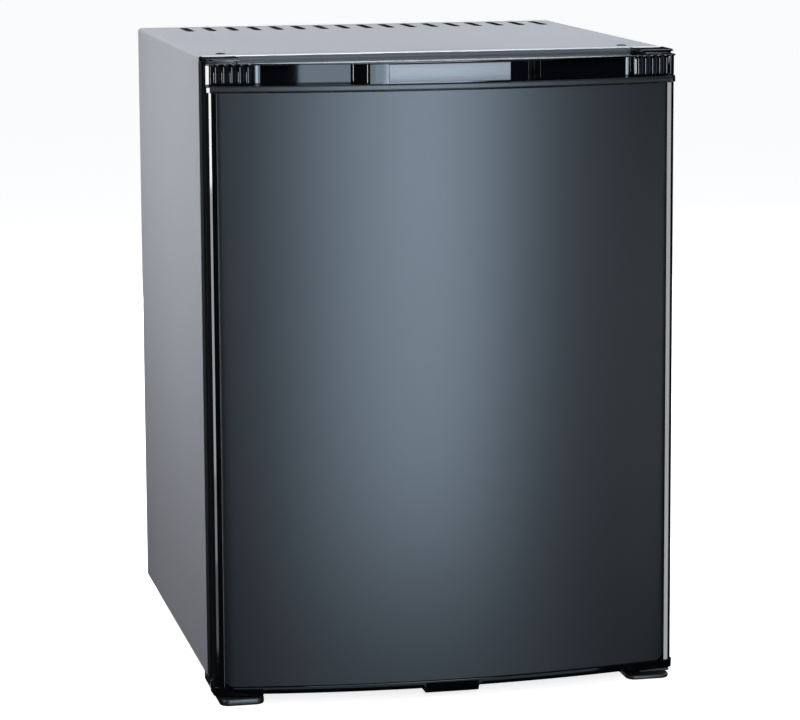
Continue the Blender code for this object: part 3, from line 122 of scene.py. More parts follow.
def make_camera():
    data = bpy.data.cameras.new("studio_camera")
    data.sensor_fit = "HORIZONTAL"
    data.sensor_width = SENSOR
    data.lens = FOCAL_PIXELS * SENSOR / PICTURE_WIDTH
    data.shift_x = -CENTRE_SHIFT[0] / PICTURE_WIDTH
    data.shift_y = CENTRE_SHIFT[1] / PICTURE_WIDTH
    data.clip_start, data.clip_end = CAMERA_CLIP
    camera = bpy.data.objects.new("studio_camera", data)
    bpy.context.scene.collection.objects.link(camera)
    camera.location = CAMERA_PLACE
    camera.rotation_mode = "XYZ"
    camera.rotation_euler = (math.radians(90.0 - CAMERA_PITCH), math.radians(CAMERA_ROLL),
                             -math.radians(CAMERA_YAW))
    bpy.context.scene.camera = camera


# Materials: scales are per metre, bump distances in metres
WHITE = EVEN = (1.0, 1.0, 1.0)
COARSE, FINE = 2.0, 3.0
MIDDLE_OF_NOISE = (0.3, 0.7)
WHOLE = (0.0, 1.0)
PAINT_CLOUDS = 5.0
PAINT_GLOSS = 420.0
PAINT_CONTRAST = 0.02
PAINT_SPREAD = 0.015
FLOW_MARKS = 14.0
FLOW_STRETCH = (1.0, 1.0, 0.35)
MOULD_GLOSS = 600.0
BRUSH_LINES = 1500.0
BRUSH_STRETCH = (0.02, 1.0, 1.0)
BRUSH_CONTRAST = 0.1
BRUSH_SPREAD = (-0.06, 0.08)
BRUSH_DEPTH = 0.000002
CRYSTALS = 160.0
CRYSTAL_SHADES = (0.9, 1.06)
CRYSTAL_SPREAD = (-0.06, 0.06)
CRYSTAL_GRAIN = (900.0, 0.000004)


def fill(node, values):
    for name, value in values.items():
        node.inputs[name.replace("_", " ")].default_value = value
    return node


class Tree:
    """Small helper around a material's node tree."""

    def __init__(self, name):
        self.material = bpy.data.materials.new(name)
        self.material.use_nodes = True
        self.nodes = self.material.node_tree.nodes
        self.link = self.material.node_tree.links.new
        self.shader = self.nodes["Principled BSDF"]
        self.coords = self.nodes.new("ShaderNodeTexCoord")

    def add(self, kind, **values):
        return fill(self.nodes.new(kind), values)

    def scaled(self, scale):
        node = self.add("ShaderNodeMapping", Scale=scale)
        self.link(self.coords.outputs["Object"], node.inputs["Vector"])
        return node.outputs["Vector"]

    def noise(self, scale, detail=COARSE, stretch=EVEN):
        node = self.add("ShaderNodeTexNoise", Scale=scale, Detail=detail, Roughness=0.5)
        self.link(self.scaled(stretch), node.inputs["Vector"])
        return node.outputs["Fac"]

    def cells(self, scale):
        node = self.add("ShaderNodeTexVoronoi", Scale=scale)
        self.link(self.scaled(EVEN), node.inputs["Vector"])
        grey = self.add("ShaderNodeRGBToBW")
        self.link(node.outputs["Color"], grey.inputs["Color"])
        return grey.outputs["Val"]

    def mapped(self, value, low, high, source=MIDDLE_OF_NOISE):
        node = self.add("ShaderNodeMapRange", From_Min=source[0], From_Max=source[1],
                        To_Min=low, To_Max=high)
        self.link(value, node.inputs["Value"])
        return node.outputs["Result"]

    def tone(self, value, colour, darker, lighter, source=MIDDLE_OF_NOISE):
        """Base colour that runs from a darker to a lighter shade."""
        node = self.nodes.new("ShaderNodeMix")
        node.data_type = "RGBA"
        self.link(self.mapped(value, *WHOLE, source), node.inputs["Factor"])
        node.inputs["A"].default_value = (*shade(colour, darker), 1.0)
        node.inputs["B"].default_value = (*shade(colour, lighter), 1.0)
        self.link(node.outputs["Result"], self.shader.inputs["Base Color"])

    def gloss(self, value, low, high, source=MIDDLE_OF_NOISE):
        self.link(self.mapped(value, low, high, source), self.shader.inputs["Roughness"])

    def bump(self, height, distance):
        node = self.add("ShaderNodeBump", Strength=1.0, Distance=distance)
        self.link(height, node.inputs["Height"])
        self.link(node.outputs["Normal"], self.shader.inputs["Normal"])

    def set(self, **values):
        fill(self.shader, values)


def shade(colour, factor):
    return tuple(min(channel * factor, 1.0) for channel in colour)


def painted(name, colour, roughness, metallic=0.0, peel=0.000004, peel_scale=900.0):
    """Sprayed paint: a fine orange peel, slight changes of tone and of gloss."""
    tree = Tree(name)
    tree.tone(tree.noise(PAINT_CLOUDS), colour, 1.0 - PAINT_CONTRAST, 1.0 + PAINT_CONTRAST)
    tree.gloss(tree.noise(PAINT_GLOSS), roughness - PAINT_SPREAD, roughness + PAINT_SPREAD)
    tree.set(Metallic=metallic)
    tree.bump(tree.noise(peel_scale), peel)
    return tree


def moulded(name, colour, roughness, contrast=0.06, grain=0.000004, grain_scale=1800.0, spread=0.02,
            **values):
    """Injection moulded plastic: a fine texture and faint flow marks."""
    tree = Tree(name)
    flow = tree.noise(FLOW_MARKS, FINE, FLOW_STRETCH)
    tree.tone(flow, colour, 1.0 - contrast, 1.0 + contrast)
    tree.gloss(tree.noise(MOULD_GLOSS), roughness - spread, roughness + spread)
    tree.bump(tree.noise(grain_scale), grain)
    tree.set(**values)
    return tree


def brushed(name, colour, roughness, metallic=1.0):
    """Metal with fine lines from side to side."""
    tree = Tree(name)
    lines = tree.noise(BRUSH_LINES, FINE, BRUSH_STRETCH)
    tree.tone(lines, colour, 1.0 - BRUSH_CONTRAST, 1.0 + BRUSH_CONTRAST)
    tree.gloss(lines, roughness + BRUSH_SPREAD[0], roughness + BRUSH_SPREAD[1])
    tree.set(Metallic=metallic)
    tree.bump(lines, BRUSH_DEPTH)
    return tree


def plated(name, colour, roughness):
    """Zinc plate with soft crystals."""
    tree = Tree(name)
    level = tree.cells(CRYSTALS)
    tree.tone(level, colour, *CRYSTAL_SHADES, source=WHOLE)
    tree.gloss(level, roughness + CRYSTAL_SPREAD[0], roughness + CRYSTAL_SPREAD[1], WHOLE)
    tree.set(Metallic=1.0)
    tree.bump(tree.noise(CRYSTAL_GRAIN[0]), CRYSTAL_GRAIN[1])
    return tree


# Finish of each material slot and of the floor: maker, colour, roughness, and what differs from
# the maker's usual values
FINISHES = {
    "painted_steel": (painted, (0.45, 0.465, 0.51), 0.42, {"metallic": 0.1}),
    "charcoal_panel": (painted, (0.007, 0.009, 0.012), 0.36, {"peel": 0.000003, "peel_scale": 1100.0}),
    "black_gloss": (moulded, (0.004, 0.005, 0.007), 0.05,
                    {"grain": 0.0000004, "grain_scale": 300.0, "spread": 0.01}),
    "black_plastic": (moulded, (0.01, 0.01, 0.011), 0.38, {"grain": 0.000008}),
    "satin_plate": (brushed, (0.3, 0.31, 0.33), 0.42, {"metallic": 0.06}),
    "liner_plastic": (moulded, (0.7, 0.73, 0.75), 0.34, {"contrast": 0.015}),
    "foam": (moulded, (0.72, 0.6, 0.33), 0.9, {"grain": 0.0002, "grain_scale": 400.0}),
    "seal_rubber": (moulded, (0.05, 0.05, 0.055), 0.5, {"grain": 0.000008, "grain_scale": 900.0}),
    "zinc_steel": (plated, (0.55, 0.56, 0.57), 0.34, {}),
    "aluminium": (brushed, (0.5, 0.51, 0.53), 0.46, {}),
    "black_steel": (painted, (0.014, 0.014, 0.015), 0.34, {"peel": 0.00001, "peel_scale": 500.0}),
    "clear_plastic": (moulded, (0.82, 0.87, 0.9), 0.18,
                      {"contrast": 0.02, "Transmission_Weight": 0.75, "IOR": 1.46}),
    "studio_floor": (moulded, (0.8, 0.8, 0.805), 0.7,
                     {"contrast": 0.005, "Emission_Color": (*WHITE, 1.0), "Emission_Strength": 0.82}),
}


def make_materials():
    return {slot: maker(slot, colour, roughness, **special).material
            for slot, (maker, colour, roughness, special) in FINISHES.items()}


def dress_nodes():
    for row in frame["record"]["subparts"]:
        mesh = NODES[row["node"]].data
        mesh.materials.clear()
        mesh.materials.append(MATERIALS[row["material_slot"]])


# Shapes
def bridge(bm, loops):
    """Skin over loops of points, capped at both ends unless the first loop comes again at the end."""
    rows = [[bm.verts.new(point) for point in loop] for loop in loops]
    for near, far in zip(rows, rows[1:]):
        count = len(near)
        for index in range(count):
            after = (index + 1) % count
            bm.faces.new((near[index], near[after], far[after], far[index]))
    if loops[0] != loops[-1]:
        bm.faces.new(rows[0])
        bm.faces.new(rows[-1])


def piece(name, skins, finish, body="cabinet", replaced=(), sharp=SHARP):
    """Smooth-shaded piece that rides on a body, made of one or more skins over loops of points."""
    bm = bmesh.new()
    for loops in skins:
        bridge(bm, loops)
    bmesh.ops.remove_doubles(bm, verts=bm.verts, dist=MERGE)
    bmesh.ops.recalc_face_normals(bm, faces=bm.faces)
    mesh = bpy.data.meshes.new(name)
    bm.to_mesh(mesh)
    bm.free()
    mesh.shade_smooth()
    mesh.set_sharp_from_angle(angle=math.radians(sharp))
    mesh.materials.append(MATERIALS[finish])
    item = bpy.data.objects.new(name, mesh)
    bpy.context.scene.collection.objects.link(item)
    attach(item, body)
    if replaced:
        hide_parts(*replaced)


def at_x(outline, x):
    return [(x, u, v) for u, v in outline]


def at_y(outline, y):
    return [(u, y, v) for u, v in outline]


def at_z(outline, z):
    return [(u, v, z) for u, v in outline]


def units(angles):
    """Cosine and sine of each angle."""
    return [(math.cos(math.radians(angle)), math.sin(math.radians(angle))) for angle in angles]


def rounded(left, right, low, high, radii, steps=ROUND_STEPS):
    """Rectangle with rounded corners; the four radii run from the lower right corner anticlockwise."""
    corners = ((right, low, -90), (right, high, 0), (left, high, 90), (left, low, 180))
    points = []
    for (u, v, start), radius in zip(corners, radii):
        inner_u = u - math.copysign(radius, u - (left + right) / 2)
        inner_v = v - math.copysign(radius, v - (low + high) / 2)
        points += arc((inner_u, inner_v), radius, start, start + 90, steps)
    return points


def stack(box, radii, rows, at=at_z, steps=ROUND_STEPS):
    """Rounded outlines of a box, one for each row of (how far drawn in, level)."""
    left, right, low, high = box
    loops = []
    for margin, level in rows:
        slim = [max(radius - margin, STRIP) for radius in radii]
        outline = rounded(left + margin, right - margin, low + margin, high - margin, slim, steps)
        loops.append(at(outline, level))
    return loops


def hoop(box, radii, rows, at, steps=ROUND_STEPS):
    """Closed moulding that follows such outlines."""
    loops = stack(box, radii, rows, at, steps)
    return loops + loops[:1]


def arc(centre, radius, start, end, steps):
    return [(centre[0] + radius * c, centre[1] + radius * s) for c, s in units(spread(start, end, steps))]


def spread(low, high, count):
    return [low + (high - low) * step / count for step in range(count + 1)]


def mirrored(stations):
    inner = sorted(set(round(x, STATION_DIGITS) for x in stations if x > STEP / 10))
    return [-x for x in reversed(inner)] + [0.0] + inner


def door_front(x):
    """Front face of the door at x, a shallow arc from side to side."""
    return DOOR_EDGE_Y - DOOR_BOW + BOW_RADIUS - math.sqrt(BOW_RADIUS ** 2 - x * x)


def setback(x, reach, radius):
    """How far a rounded corner draws back at x, for an end that lies at reach."""
    past = abs(x) - (reach - radius)
    if past <= 0:
        return 0.0
    return radius - math.sqrt(max(radius ** 2 - past ** 2, 0.0))


def facet_setback(x, reach, facet):
    """Draw-back of a door corner at x: a flat facet, then a small round to the side face."""
    past = abs(x) - (reach - facet_run(facet))
    if past <= 0:
        return 0.0
    flat = facet * FACET_COS
    if past <= flat:
        return past * math.tan(FACET_TILT)
    turn = math.asin(min((past - flat) / FACET_ROUND + FACET_SIN, 1.0))
    return facet * FACET_SIN + FACET_ROUND * (FACET_COS - math.cos(turn))


def facet_run(facet):
    return facet * FACET_COS + FACET_ROUND * (1.0 - FACET_SIN)


def facet_stations(reach, facet):
    """Places across such a corner, with close pairs so that the facet stays flat to the eye."""
    start = reach - facet_run(facet)
    flat = facet * FACET_COS
    turns = spread(FACET_TILT, math.pi / 2, FACET_STEPS)
    return ([start - FIT, start, start + STRIP, start + flat / 2, start + flat - STRIP]
            + [start + flat + FACET_ROUND * (math.sin(turn) - FACET_SIN) for turn in turns])


def ramp(share, fillet=0.2):
    """Straight slope from 0 to 1 with a fillet at both ends."""
    share = min(max(share, 0.0), 1.0)
    if share > 0.5:
        return 1.0 - ramp(1.0 - share, fillet)
    steep = 1.0 / (1.0 - fillet)
    if share < fillet:
        return steep * share * share / (2 * fillet)
    return steep * (share - fillet / 2)


def smooth(share):
    share = min(max(share, 0.0), 1.0)
    return share * share * (3 - 2 * share)


def end_stations(reach, radius, steps):
    return [reach - radius + radius * turn[1] for turn in units(spread(0, 90, steps))]


def door_ends(x):
    front = door_front(x) + facet_setback(x, HALF_WIDTH, BLOCK_FACET)
    back = DOOR_BACK - setback(x, HALF_WIDTH, BACK_RADIUS)
    return front, back


# Door skin
PANEL_ROLL = 0.003
PANEL_ROLL_DEPTH = 0.0004
PANEL_COLUMNS = 64


def build_panel():
    reach = HALF_WIDTH - TRIM_WIDTH - FIT
    edge = PANEL_SKIN / 2
    high = PANEL_TOP - FIT
    stations = spread(0.0, reach - PANEL_CORNER, PANEL_COLUMNS)
    stations += end_stations(reach, PANEL_CORNER, CORNER_STEPS) + end_stations(reach, PANEL_ROLL, END_STEPS)
    quarter = arc((0.0, 0.0), edge, 0, 90, EDGE_STEPS)
    loops = []
    for x in mirrored(stations):
        front = door_front(x) + PANEL_ROLL_DEPTH * (setback(x, reach, PANEL_ROLL) / PANEL_ROLL)
        back = door_front(x) + PANEL_SKIN
        low = PANEL_BOTTOM + setback(x, reach, PANEL_CORNER)
        section = [(back, low)]
        section += [(front + edge - v, low + edge - u) for u, v in quarter]
        section += [(front + edge - v, high - edge + u) for u, v in reversed(quarter)]
        section += [(back, high)]
        loops.append(at_x(section, x))
    piece("door_panel_skin", [loops], "charcoal_panel", "door", ("door_panel",))


# Top moulding: rail, grip channel with the raised handle block, ribbed corners, and the lip below
CHANNEL_DEPTH = 0.012
HANDLE_HALF = 0.0668
HANDLE_BLEND = 0.0145
CORNER_RECESS = 0.004
CORNER_BLEND = 0.0035
CORNER_START = HALF_WIDTH - CORNER_BLOCK
HANDLE_COLUMNS = 14
BLEND_COLUMNS = 18
RIB_COUNT = 5
RIB_PITCH = 0.0066
RIB_HEIGHT = 0.0026
RIB_STEPS = 12
RIB_START = CORNER_START + CORNER_BLEND
SCALLOP = 0.0009
SCALLOP_END = HALF_WIDTH - 0.006

# Lip: levels are (set back, rise from the foot) and (set back, drop from the top)
LIP_ROUND = 0.0016
LIP_PROUD = 0.0012
LIP_REACH = 0.197
LIP_COLUMNS = 90
LIP_FACE = 0.0006
LIP_END = 0.0004
LIP_FOOT = ((0.0002, 0.0004), (0.00003, 0.0012), (0.0, 0.0026))
LIP_CROWN = ((0.00004, 0.002), (0.00016, 0.0012), (0.00038, 0.0006), (0.00066, 0.0002), (0.001, 0.0))

# Channel wall: (rise above the lip, share of the rib) and (drop below the rail, share of the rib)
SEAT_SHARE = 0.8
SEAT_LEAN = 0.2
SEAT_TURNS = (30, 60, 90)
WALL_FOOT = ((0.0, 0.0), (0.0004, 0.45), (0.0009, 0.68), (0.0016, 0.86), (0.0026, 0.97), (0.0036, 1.0))
WALL_CROWN = ((0.002, 1.0), (0.001, 0.9), (0.0003, 0.7))
RAIL_UNDERCUT = 0.6
RAIL_TURNS = (-50, -20, 10, 40, 70, 90)

PLATE_HALF = 0.0515
PLATE_SEAT = 0.0014
PLATE_THICKNESS = 0.001
PLATE_LOW = LIP_TOP + 0.0012
PLATE_HIGH = RAIL_FLOOR - 0.0006
PLATE_COLUMNS = 24


def rib_share(x):
    """Height of the ribs at x, as a share of a whole rib."""
    run = (abs(x) - RIB_START) / RIB_PITCH
    return abs(math.sin(math.pi * run)) if 0.0 < run < RIB_COUNT else 0.0


def channel_recess(x):
    """Depth of the top channel behind the front of the door at x, without the ribs."""
    distance = abs(x)
    if distance < CORNER_START:
        return PLATE_SEAT + (CHANNEL_DEPTH - PLATE_SEAT) * ramp((distance - HANDLE_HALF) / HANDLE_BLEND)
    share = smooth((distance - CORNER_START) / CORNER_BLEND)
    return CHANNEL_DEPTH + (CORNER_RECESS - CHANNEL_DEPTH) * share


def top_stations():
    rib_end = RIB_START + RIB_COUNT * RIB_PITCH
    blend_end = HANDLE_HALF + HANDLE_BLEND
    stations = spread(0.0, HANDLE_HALF, HANDLE_COLUMNS) + spread(HANDLE_HALF, blend_end, BLEND_COLUMNS)
    stations += spread(blend_end, CORNER_START, HANDLE_COLUMNS)
    stations += spread(CORNER_START, RIB_START, ROUND_STEPS)
    stations += spread(RIB_START, rib_end, RIB_COUNT * RIB_STEPS)
    stations += [x for x in facet_stations(HALF_WIDTH, BLOCK_FACET) if x > rib_end + FIT]
    stations += [LIP_REACH, LIP_REACH + STEP]
    stations += end_stations(HALF_WIDTH, BACK_RADIUS, END_STEPS)
    return mirrored(stations)


def build_top_moulding():
    loops = []
    half = TOP_RAIL / 2
    for x in top_stations():
        front, back = door_ends(x)
        recess = channel_recess(x)
        rib = rib_share(x)
        seat = min(LIP_ROUND, recess * SEAT_SHARE)
        rail = front + (SCALLOP * (1.0 - rib) if RIB_START < abs(x) < SCALLOP_END else 0.0)
        face = front + (LIP_PROUD if abs(x) <= LIP_REACH + STEP / 2 else 0.0)
        wall = front + recess
        foot = LIP_TOP - seat
        section = [(back, PANEL_TOP), (face, PANEL_TOP), (face, foot)]
        section += [(face + seat * (1 - c) * SEAT_LEAN, foot + seat * s) for c, s in units(SEAT_TURNS)]
        section += [(wall - RIB_HEIGHT * rib * share + STRIP * (1 - share), LIP_TOP + STEP + rise)
                    for rise, share in WALL_FOOT]
        section += [(wall - RIB_HEIGHT * rib * share, RAIL_FLOOR - drop) for drop, share in WALL_CROWN]
        section += [(rail + recess * RAIL_UNDERCUT + FIT, RAIL_FLOOR), (rail + FIT, RAIL_FLOOR)]
        section += [(rail + half * (1 - c), RAIL_FLOOR + half + half * s) for c, s in units(RAIL_TURNS)]
        section += [(rail + half + STRIP, DOOR_TOP), (back - FIT, DOOR_TOP), (back, DOOR_TOP)]
        loops.append(at_x(section, x))
    piece("door_top_grip", [loops], "black_gloss", "door", ("door_top_moulding",), SHARP_MOULDING)


def build_lip():
    """Satin strip along the lower edge of the channel, in the finish of the door skin."""
    loops = []
    low = PANEL_TOP + STEP
    for x in mirrored(spread(0.0, LIP_REACH - LIP_END, LIP_COLUMNS) + [LIP_REACH]):
        front = door_ends(x)[0]
        section = [(front + LIP_PROUD - FIT, low), (front + LIP_FACE, low)]
        section += [(front + v, low + u) for v, u in LIP_FOOT]
        section += [(front + v, LIP_TOP - u) for v, u in LIP_CROWN]
        section += [(front + LIP_PROUD - FIT / 3, LIP_TOP)]
        loops.append(at_x(section, x))
    piece("door_channel_lip", [loops], "charcoal_panel", "door", sharp=SHARP_STRIP)


def build_plate():
    low, high, edge = PLATE_LOW, PLATE_HIGH, FIT
    loops = []
    stations = spread(0.0, PLATE_HALF - edge, PLATE_COLUMNS) + [PLATE_HALF - edge / 2, PLATE_HALF]
    for x in mirrored(stations):
        back = door_front(x) + PLATE_SEAT - FIT / 3
        front = door_front(x) + PLATE_SEAT - FIT - PLATE_THICKNESS
        draw = max(0.0, abs(x) - (PLATE_HALF - edge))
        section = [(front + edge, low + draw / 2), (front + edge / 3 + draw, low + edge / 3 + draw / 2),
                   (front + draw, low + edge), (front + draw, high - edge),
                   (front + edge / 3 + draw, high - edge / 3 - draw / 2), (front + edge, high - draw / 2),
                   (back, high - draw / 2), (back, low + draw / 2)]
        loops.append(at_x(section, x))
    piece("handle_face_plate", [loops], "satin_plate", "door", ("handle_plate",))


# Side trims; the inner edge has rows of (place across, place where the bow is taken, set back)
TRIM_WALL = 0.002
TRIM_FLANGE = 0.0025
TRIM_END = 0.002
TRIM_ROWS = 8
TRIM_EDGE = ((0.0003, 0.0003, 0.0), (0.0002, 0.0002, 0.0), (0.00005, 0.0, 0.00005), (0.0, 0.0, 0.0002))


def build_trims():
    outer = HALF_WIDTH - TRIM_INSET
    inner = HALF_WIDTH - TRIM_WIDTH
    seat = DOOR_BACK - TRIM_WALL
    flange = door_front(inner) + TRIM_FLANGE
    section = arc((outer - BACK_RADIUS, DOOR_BACK - BACK_RADIUS), BACK_RADIUS, 90, 0, ROUND_STEPS)
    section += [(x, door_front(x) + facet_setback(x, outer, TRIM_FACET))
                for x in reversed(facet_stations(outer, TRIM_FACET))]
    section += [(inner + across, door_front(inner + bow) + back) for across, bow, back in TRIM_EDGE]
    section += [(inner, flange), (outer - TRIM_WALL, flange), (outer - TRIM_WALL, seat),
                (outer - BACK_RADIUS, seat)]
    levels = [PANEL_BOTTOM] + spread(PANEL_BOTTOM + TRIM_END, PANEL_TOP - TRIM_END, TRIM_ROWS)
    levels += [PANEL_TOP - FIT]
    for side, word in ((-1, "left"), (1, "right")):
        outline = [(side * x, y) for x, y in section]
        piece("door_edge_trim_" + word, [[at_z(outline, z) for z in levels]], "black_gloss", "door",
              ("door_side_trim_" + word,))


# Bottom moulding: a rail that leans back to its lower edge and fills the panel's rounded corners
TAB_HALF = 0.023
TAB_DROP = 0.0043
BLOCK_DROP = 0.0017
STEP_RUN = 0.0006
RAIL_LEAN = 0.16
RAIL_COLUMNS = 40
BLOCK_COLUMNS = 12
FILLER_SINK = 0.0007
RAIL_NOSE = ((0.0014, 0.0), (0.0008, 0.00012), (0.0003, 0.0004), (0.0001, 0.0008))
RAIL_BELLY = (0.85, 0.0013)
RAIL_BROW = (0.2, 0.0014)
RAIL_TOP_EDGE = 0.0005


def bottom_level(x):
    """Underside of the bottom moulding at x: a centre tab, a plain run and a lower corner block."""
    distance = abs(x)
    level = DOOR_BOTTOM - TAB_DROP * (1.0 - smooth((distance - TAB_HALF) / STEP_RUN))
    return level - BLOCK_DROP * smooth((distance - CORNER_START) / STEP_RUN)


def build_bottom_moulding():
    reach = HALF_WIDTH - TRIM_WIDTH - FIT
    tab_end, block_start = TAB_HALF + STEP_RUN, CORNER_START + STEP_RUN
    stations = spread(0.0, TAB_HALF, ROUND_STEPS) + spread(TAB_HALF, tab_end, EDGE_STEPS)
    stations += spread(tab_end, CORNER_START, RAIL_COLUMNS) + spread(CORNER_START, block_start, EDGE_STEPS)
    stations += spread(block_start, HALF_WIDTH - EDGE_RADIUS, BLOCK_COLUMNS)
    stations += end_stations(reach, PANEL_CORNER, CORNER_STEPS) + [reach + STEP]
    stations += facet_stations(HALF_WIDTH, BLOCK_FACET) + end_stations(HALF_WIDTH, BACK_RADIUS, END_STEPS)
    top = PANEL_BOTTOM - FIT
    loops = []
    for x in mirrored(stations):
        front, back = door_ends(x)
        low = bottom_level(x)
        crest = top
        if abs(x) < reach + STEP / 2:
            crest += setback(x, reach + FIT, PANEL_CORNER + FIT)
        lean = RAIL_LEAN * (top - low)
        filler = front + (FILLER_SINK if crest > top else 0.0)
        tilt = RAIL_LEAN * (crest - top)
        behind = front + PANEL_SKIN + tilt
        section = [(back, low)] + [(front + lean + u, low + v) for u, v in RAIL_NOSE]
        section += [(front + lean * RAIL_BELLY[0], low + RAIL_BELLY[1]),
                    (front + lean * RAIL_BROW[0], top - RAIL_BROW[1]), (front, top - RAIL_TOP_EDGE),
                    (filler + tilt, top - FIT), (filler, crest - STRIP), (filler + STRIP, crest),
                    (behind, crest), (behind, top), (back, top)]
        loops.append(at_x(section, x))
    piece("door_bottom_rail", [loops], "black_gloss", "door", ("door_bottom_moulding",), SHARP_MOULDING)


# Cabinet front corners; corner radii run from the lower right corner anticlockwise
COVER_WIDTH = 0.031
COVER_REACH = 0.029
COVER_RADIUS = 0.007
COVER_EDGE = 0.0017
COVER_TURNS = (0, 15, 30, 45, 60, 75, 90)
HINGE_SHEET = 0.0015
HINGE_TOP = DOOR_TOP + FIT + HINGE_SHEET
LEAF_RADII = (0.006, 0.0004, 0.0004, 0.003)
LEG_RADII = (0.004, 0.0004, 0.0004, 0.004)
HEEL_RADII = (0.0005,) * 4
PILLOW_STEPS = 10


def build_corner_covers():
    edge = COVER_EDGE
    floor = HINGE_TOP + FIT
    rise = TOP - floor - FIT
    rows = [(STRIP, floor), (0.0, floor + STRIP)]
    rows += [(edge * (1 - c), TOP - rise + rise * s) for c, s in units(COVER_TURNS)]
    for side, word, node in ((-1, "left", "top_corner_cover_left"), (1, "right", "top_hinge_cover")):
        x_low, x_high = sorted((side * HALF_WIDTH, side * (HALF_WIDTH - COVER_WIDTH)))
        box = (x_low, x_high, FRAME_FACE - COVER_REACH, FRONT - FIT)
        radii = (COVER_RADIUS, edge, edge, edge) if side > 0 else (edge, edge, edge, COVER_RADIUS)
        piece("corner_cap_" + word, [stack(box, radii, rows, steps=PILLOW_STEPS)], "black_gloss",
              replaced=(node,), sharp=SHARP_MOULDING)
    low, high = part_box("top_hinge_plate")
    under = high.z - HINGE_SHEET
    leaf = stack((low.x, high.x, low.y + FIT, high.y), LEAF_RADII,
                 ((FIT, under), (0.0, under + FIT), (0.0, high.z - FIT), (FIT, high.z)))
    leg = rounded(low.x, high.x, low.z, under, LEG_RADII)
    piece("hinge_plate_upper", [leaf, [at_y(leg, high.y - HINGE_SHEET), at_y(leg, high.y)]], "black_steel",
          replaced=("top_hinge_plate",))
    heel = rounded(-HALF_WIDTH, COVER_WIDTH - HALF_WIDTH, FRAME_FACE + FIT, FRONT - FIT,
                   HEEL_RADII, FEW_STEPS)
    piece("corner_cap_heel_left", [[at_z(heel, DOOR_TOP + FIT), at_z(heel, floor + STEP)]], "black_gloss")


# Front feet: a sole with rounded edges, thicker on the left, and the riser behind the door
SOLE_HEIGHTS = {"left": 0.0058, "right": 0.0037}
SOLE_EDGE = 0.0014
SOLE_ROUND = ((0.0, 0.8), (0.25, 0.3), (1.0, 0.0))
SOLE_CROWN = ((1.0, 0.0), (0.3, 0.25), (0.0, 0.9))
FOOT_RADII = (0.008, 0.0012, 0.0012, 0.008)
RISER_FRONT = FRAME_FACE + 2 * FIT + 0.0018 + FIT
RISER_BEVEL = 0.0004
RISER_START = 0.6


def build_feet():
    for word, height in SOLE_HEIGHTS.items():
        low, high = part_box("front_foot_" + word)
        rows = [(SOLE_EDGE * share, SOLE_EDGE * up) for up, share in SOLE_ROUND]
        rows += [(SOLE_EDGE * share, height - SOLE_EDGE * down) for down, share in SOLE_CROWN]
        sole = stack((low.x, high.x, low.y, high.y), FOOT_RADII, rows, steps=PILLOW_STEPS)
        piece("front_foot_sole_" + word, [sole], "black_plastic", replaced=("front_foot_" + word,),
              sharp=SHARP_MOULDING)
        rows = ((0.0, height * RISER_START), (0.0, high.z - RISER_BEVEL), (RISER_BEVEL, high.z))
        riser = stack((low.x, high.x, RISER_FRONT, high.y), FOOT_RADII, rows, steps=PILLOW_STEPS)
        piece("front_foot_riser_" + word, [riser], "black_plastic", sharp=SHARP_MOULDING)


HEM_RADIUS = 0.0007
HEM_PROUD = 0.00015
HEM_FOLD = 0.003
HEM_LOW = 0.016
HEM_TURNS = (-90, -60, -30, 0, 30, 60, 90, 135, 180, 225)
FOLD_TURNS = (165, 150, 135, 120, 105)


def build_hem():
    """Rolled front edge of the steel wrap, up one side, over the top and down the other."""
    fold, side, level = HEM_FOLD, HALF_WIDTH - HEM_FOLD, TOP - HEM_FOLD
    path = [(-1, 0, -HALF_WIDTH, HEM_LOW), (-1, 0, -HALF_WIDTH, level)]
    path += [(c, s, fold * c - side, level + fold * s) for c, s in units(FOLD_TURNS)]
    path += [(0, 1, -side, TOP), (0, 1, side, TOP)]
    path += [(-c, s, side - fold * c, level + fold * s) for c, s in reversed(units(FOLD_TURNS))]
    path += [(1, 0, HALF_WIDTH, level), (1, 0, HALF_WIDTH, HEM_LOW)]
    loops = []
    for out_x, out_z, x, z in path:
        loop = []
        for c, s in units(HEM_TURNS):
            rise = HEM_PROUD - HEM_RADIUS + HEM_RADIUS * s
            loop.append((x + out_x * rise, FRONT - HEM_RADIUS * c, z + out_z * rise))
        loops.append(loop)
    piece("shell_front_hem", [loops], "zinc_steel", sharp=SHARP_HEM)


# Screen under the vent slots: a black sheet of painted shade that darkens the slots
SCREEN_FROM = 0.15
SCREEN_TO = 0.2085
SCREEN_LEFT = -0.178
SCREEN_RIGHT = 0.19
SCREEN_TOP = TOP - 0.0014
SCREEN_DEPTH = 0.0032
SCREEN_RAIL = 0.002
SCREEN_OVERHANG = 0.003
BLADE_PITCH = 0.0033
BLADE_HALF = 0.0004


def build_vent_shade_screen():
    """Black louvred screen under the vent slots, painted shade: it hides the rear bay so the slots look
    dark.
    """
    top, floor, half = SCREEN_TOP, SCREEN_TOP - SCREEN_DEPTH, BLADE_HALF
    skins = []
    for index in range(int((SCREEN_TO - SCREEN_FROM) / BLADE_PITCH)):
        y = SCREEN_FROM + index * BLADE_PITCH
        after = y + BLADE_PITCH
        blade = [(y, floor), (y + 2 * half, floor), (after + half, top), (after - half, top)]
        skins.append([at_x(blade, SCREEN_LEFT), at_x(blade, SCREEN_RIGHT)])
    for left in (SCREEN_LEFT - SCREEN_RAIL, SCREEN_RIGHT):
        rail = rounded(left, left + SCREEN_RAIL, floor, top, (half,) * 4, steps=2)
        skins.append([at_y(rail, SCREEN_FROM - SCREEN_RAIL), at_y(rail, SCREEN_TO + SCREEN_OVERHANG)])
    piece("vent_shade_screen", skins, "black_plastic")


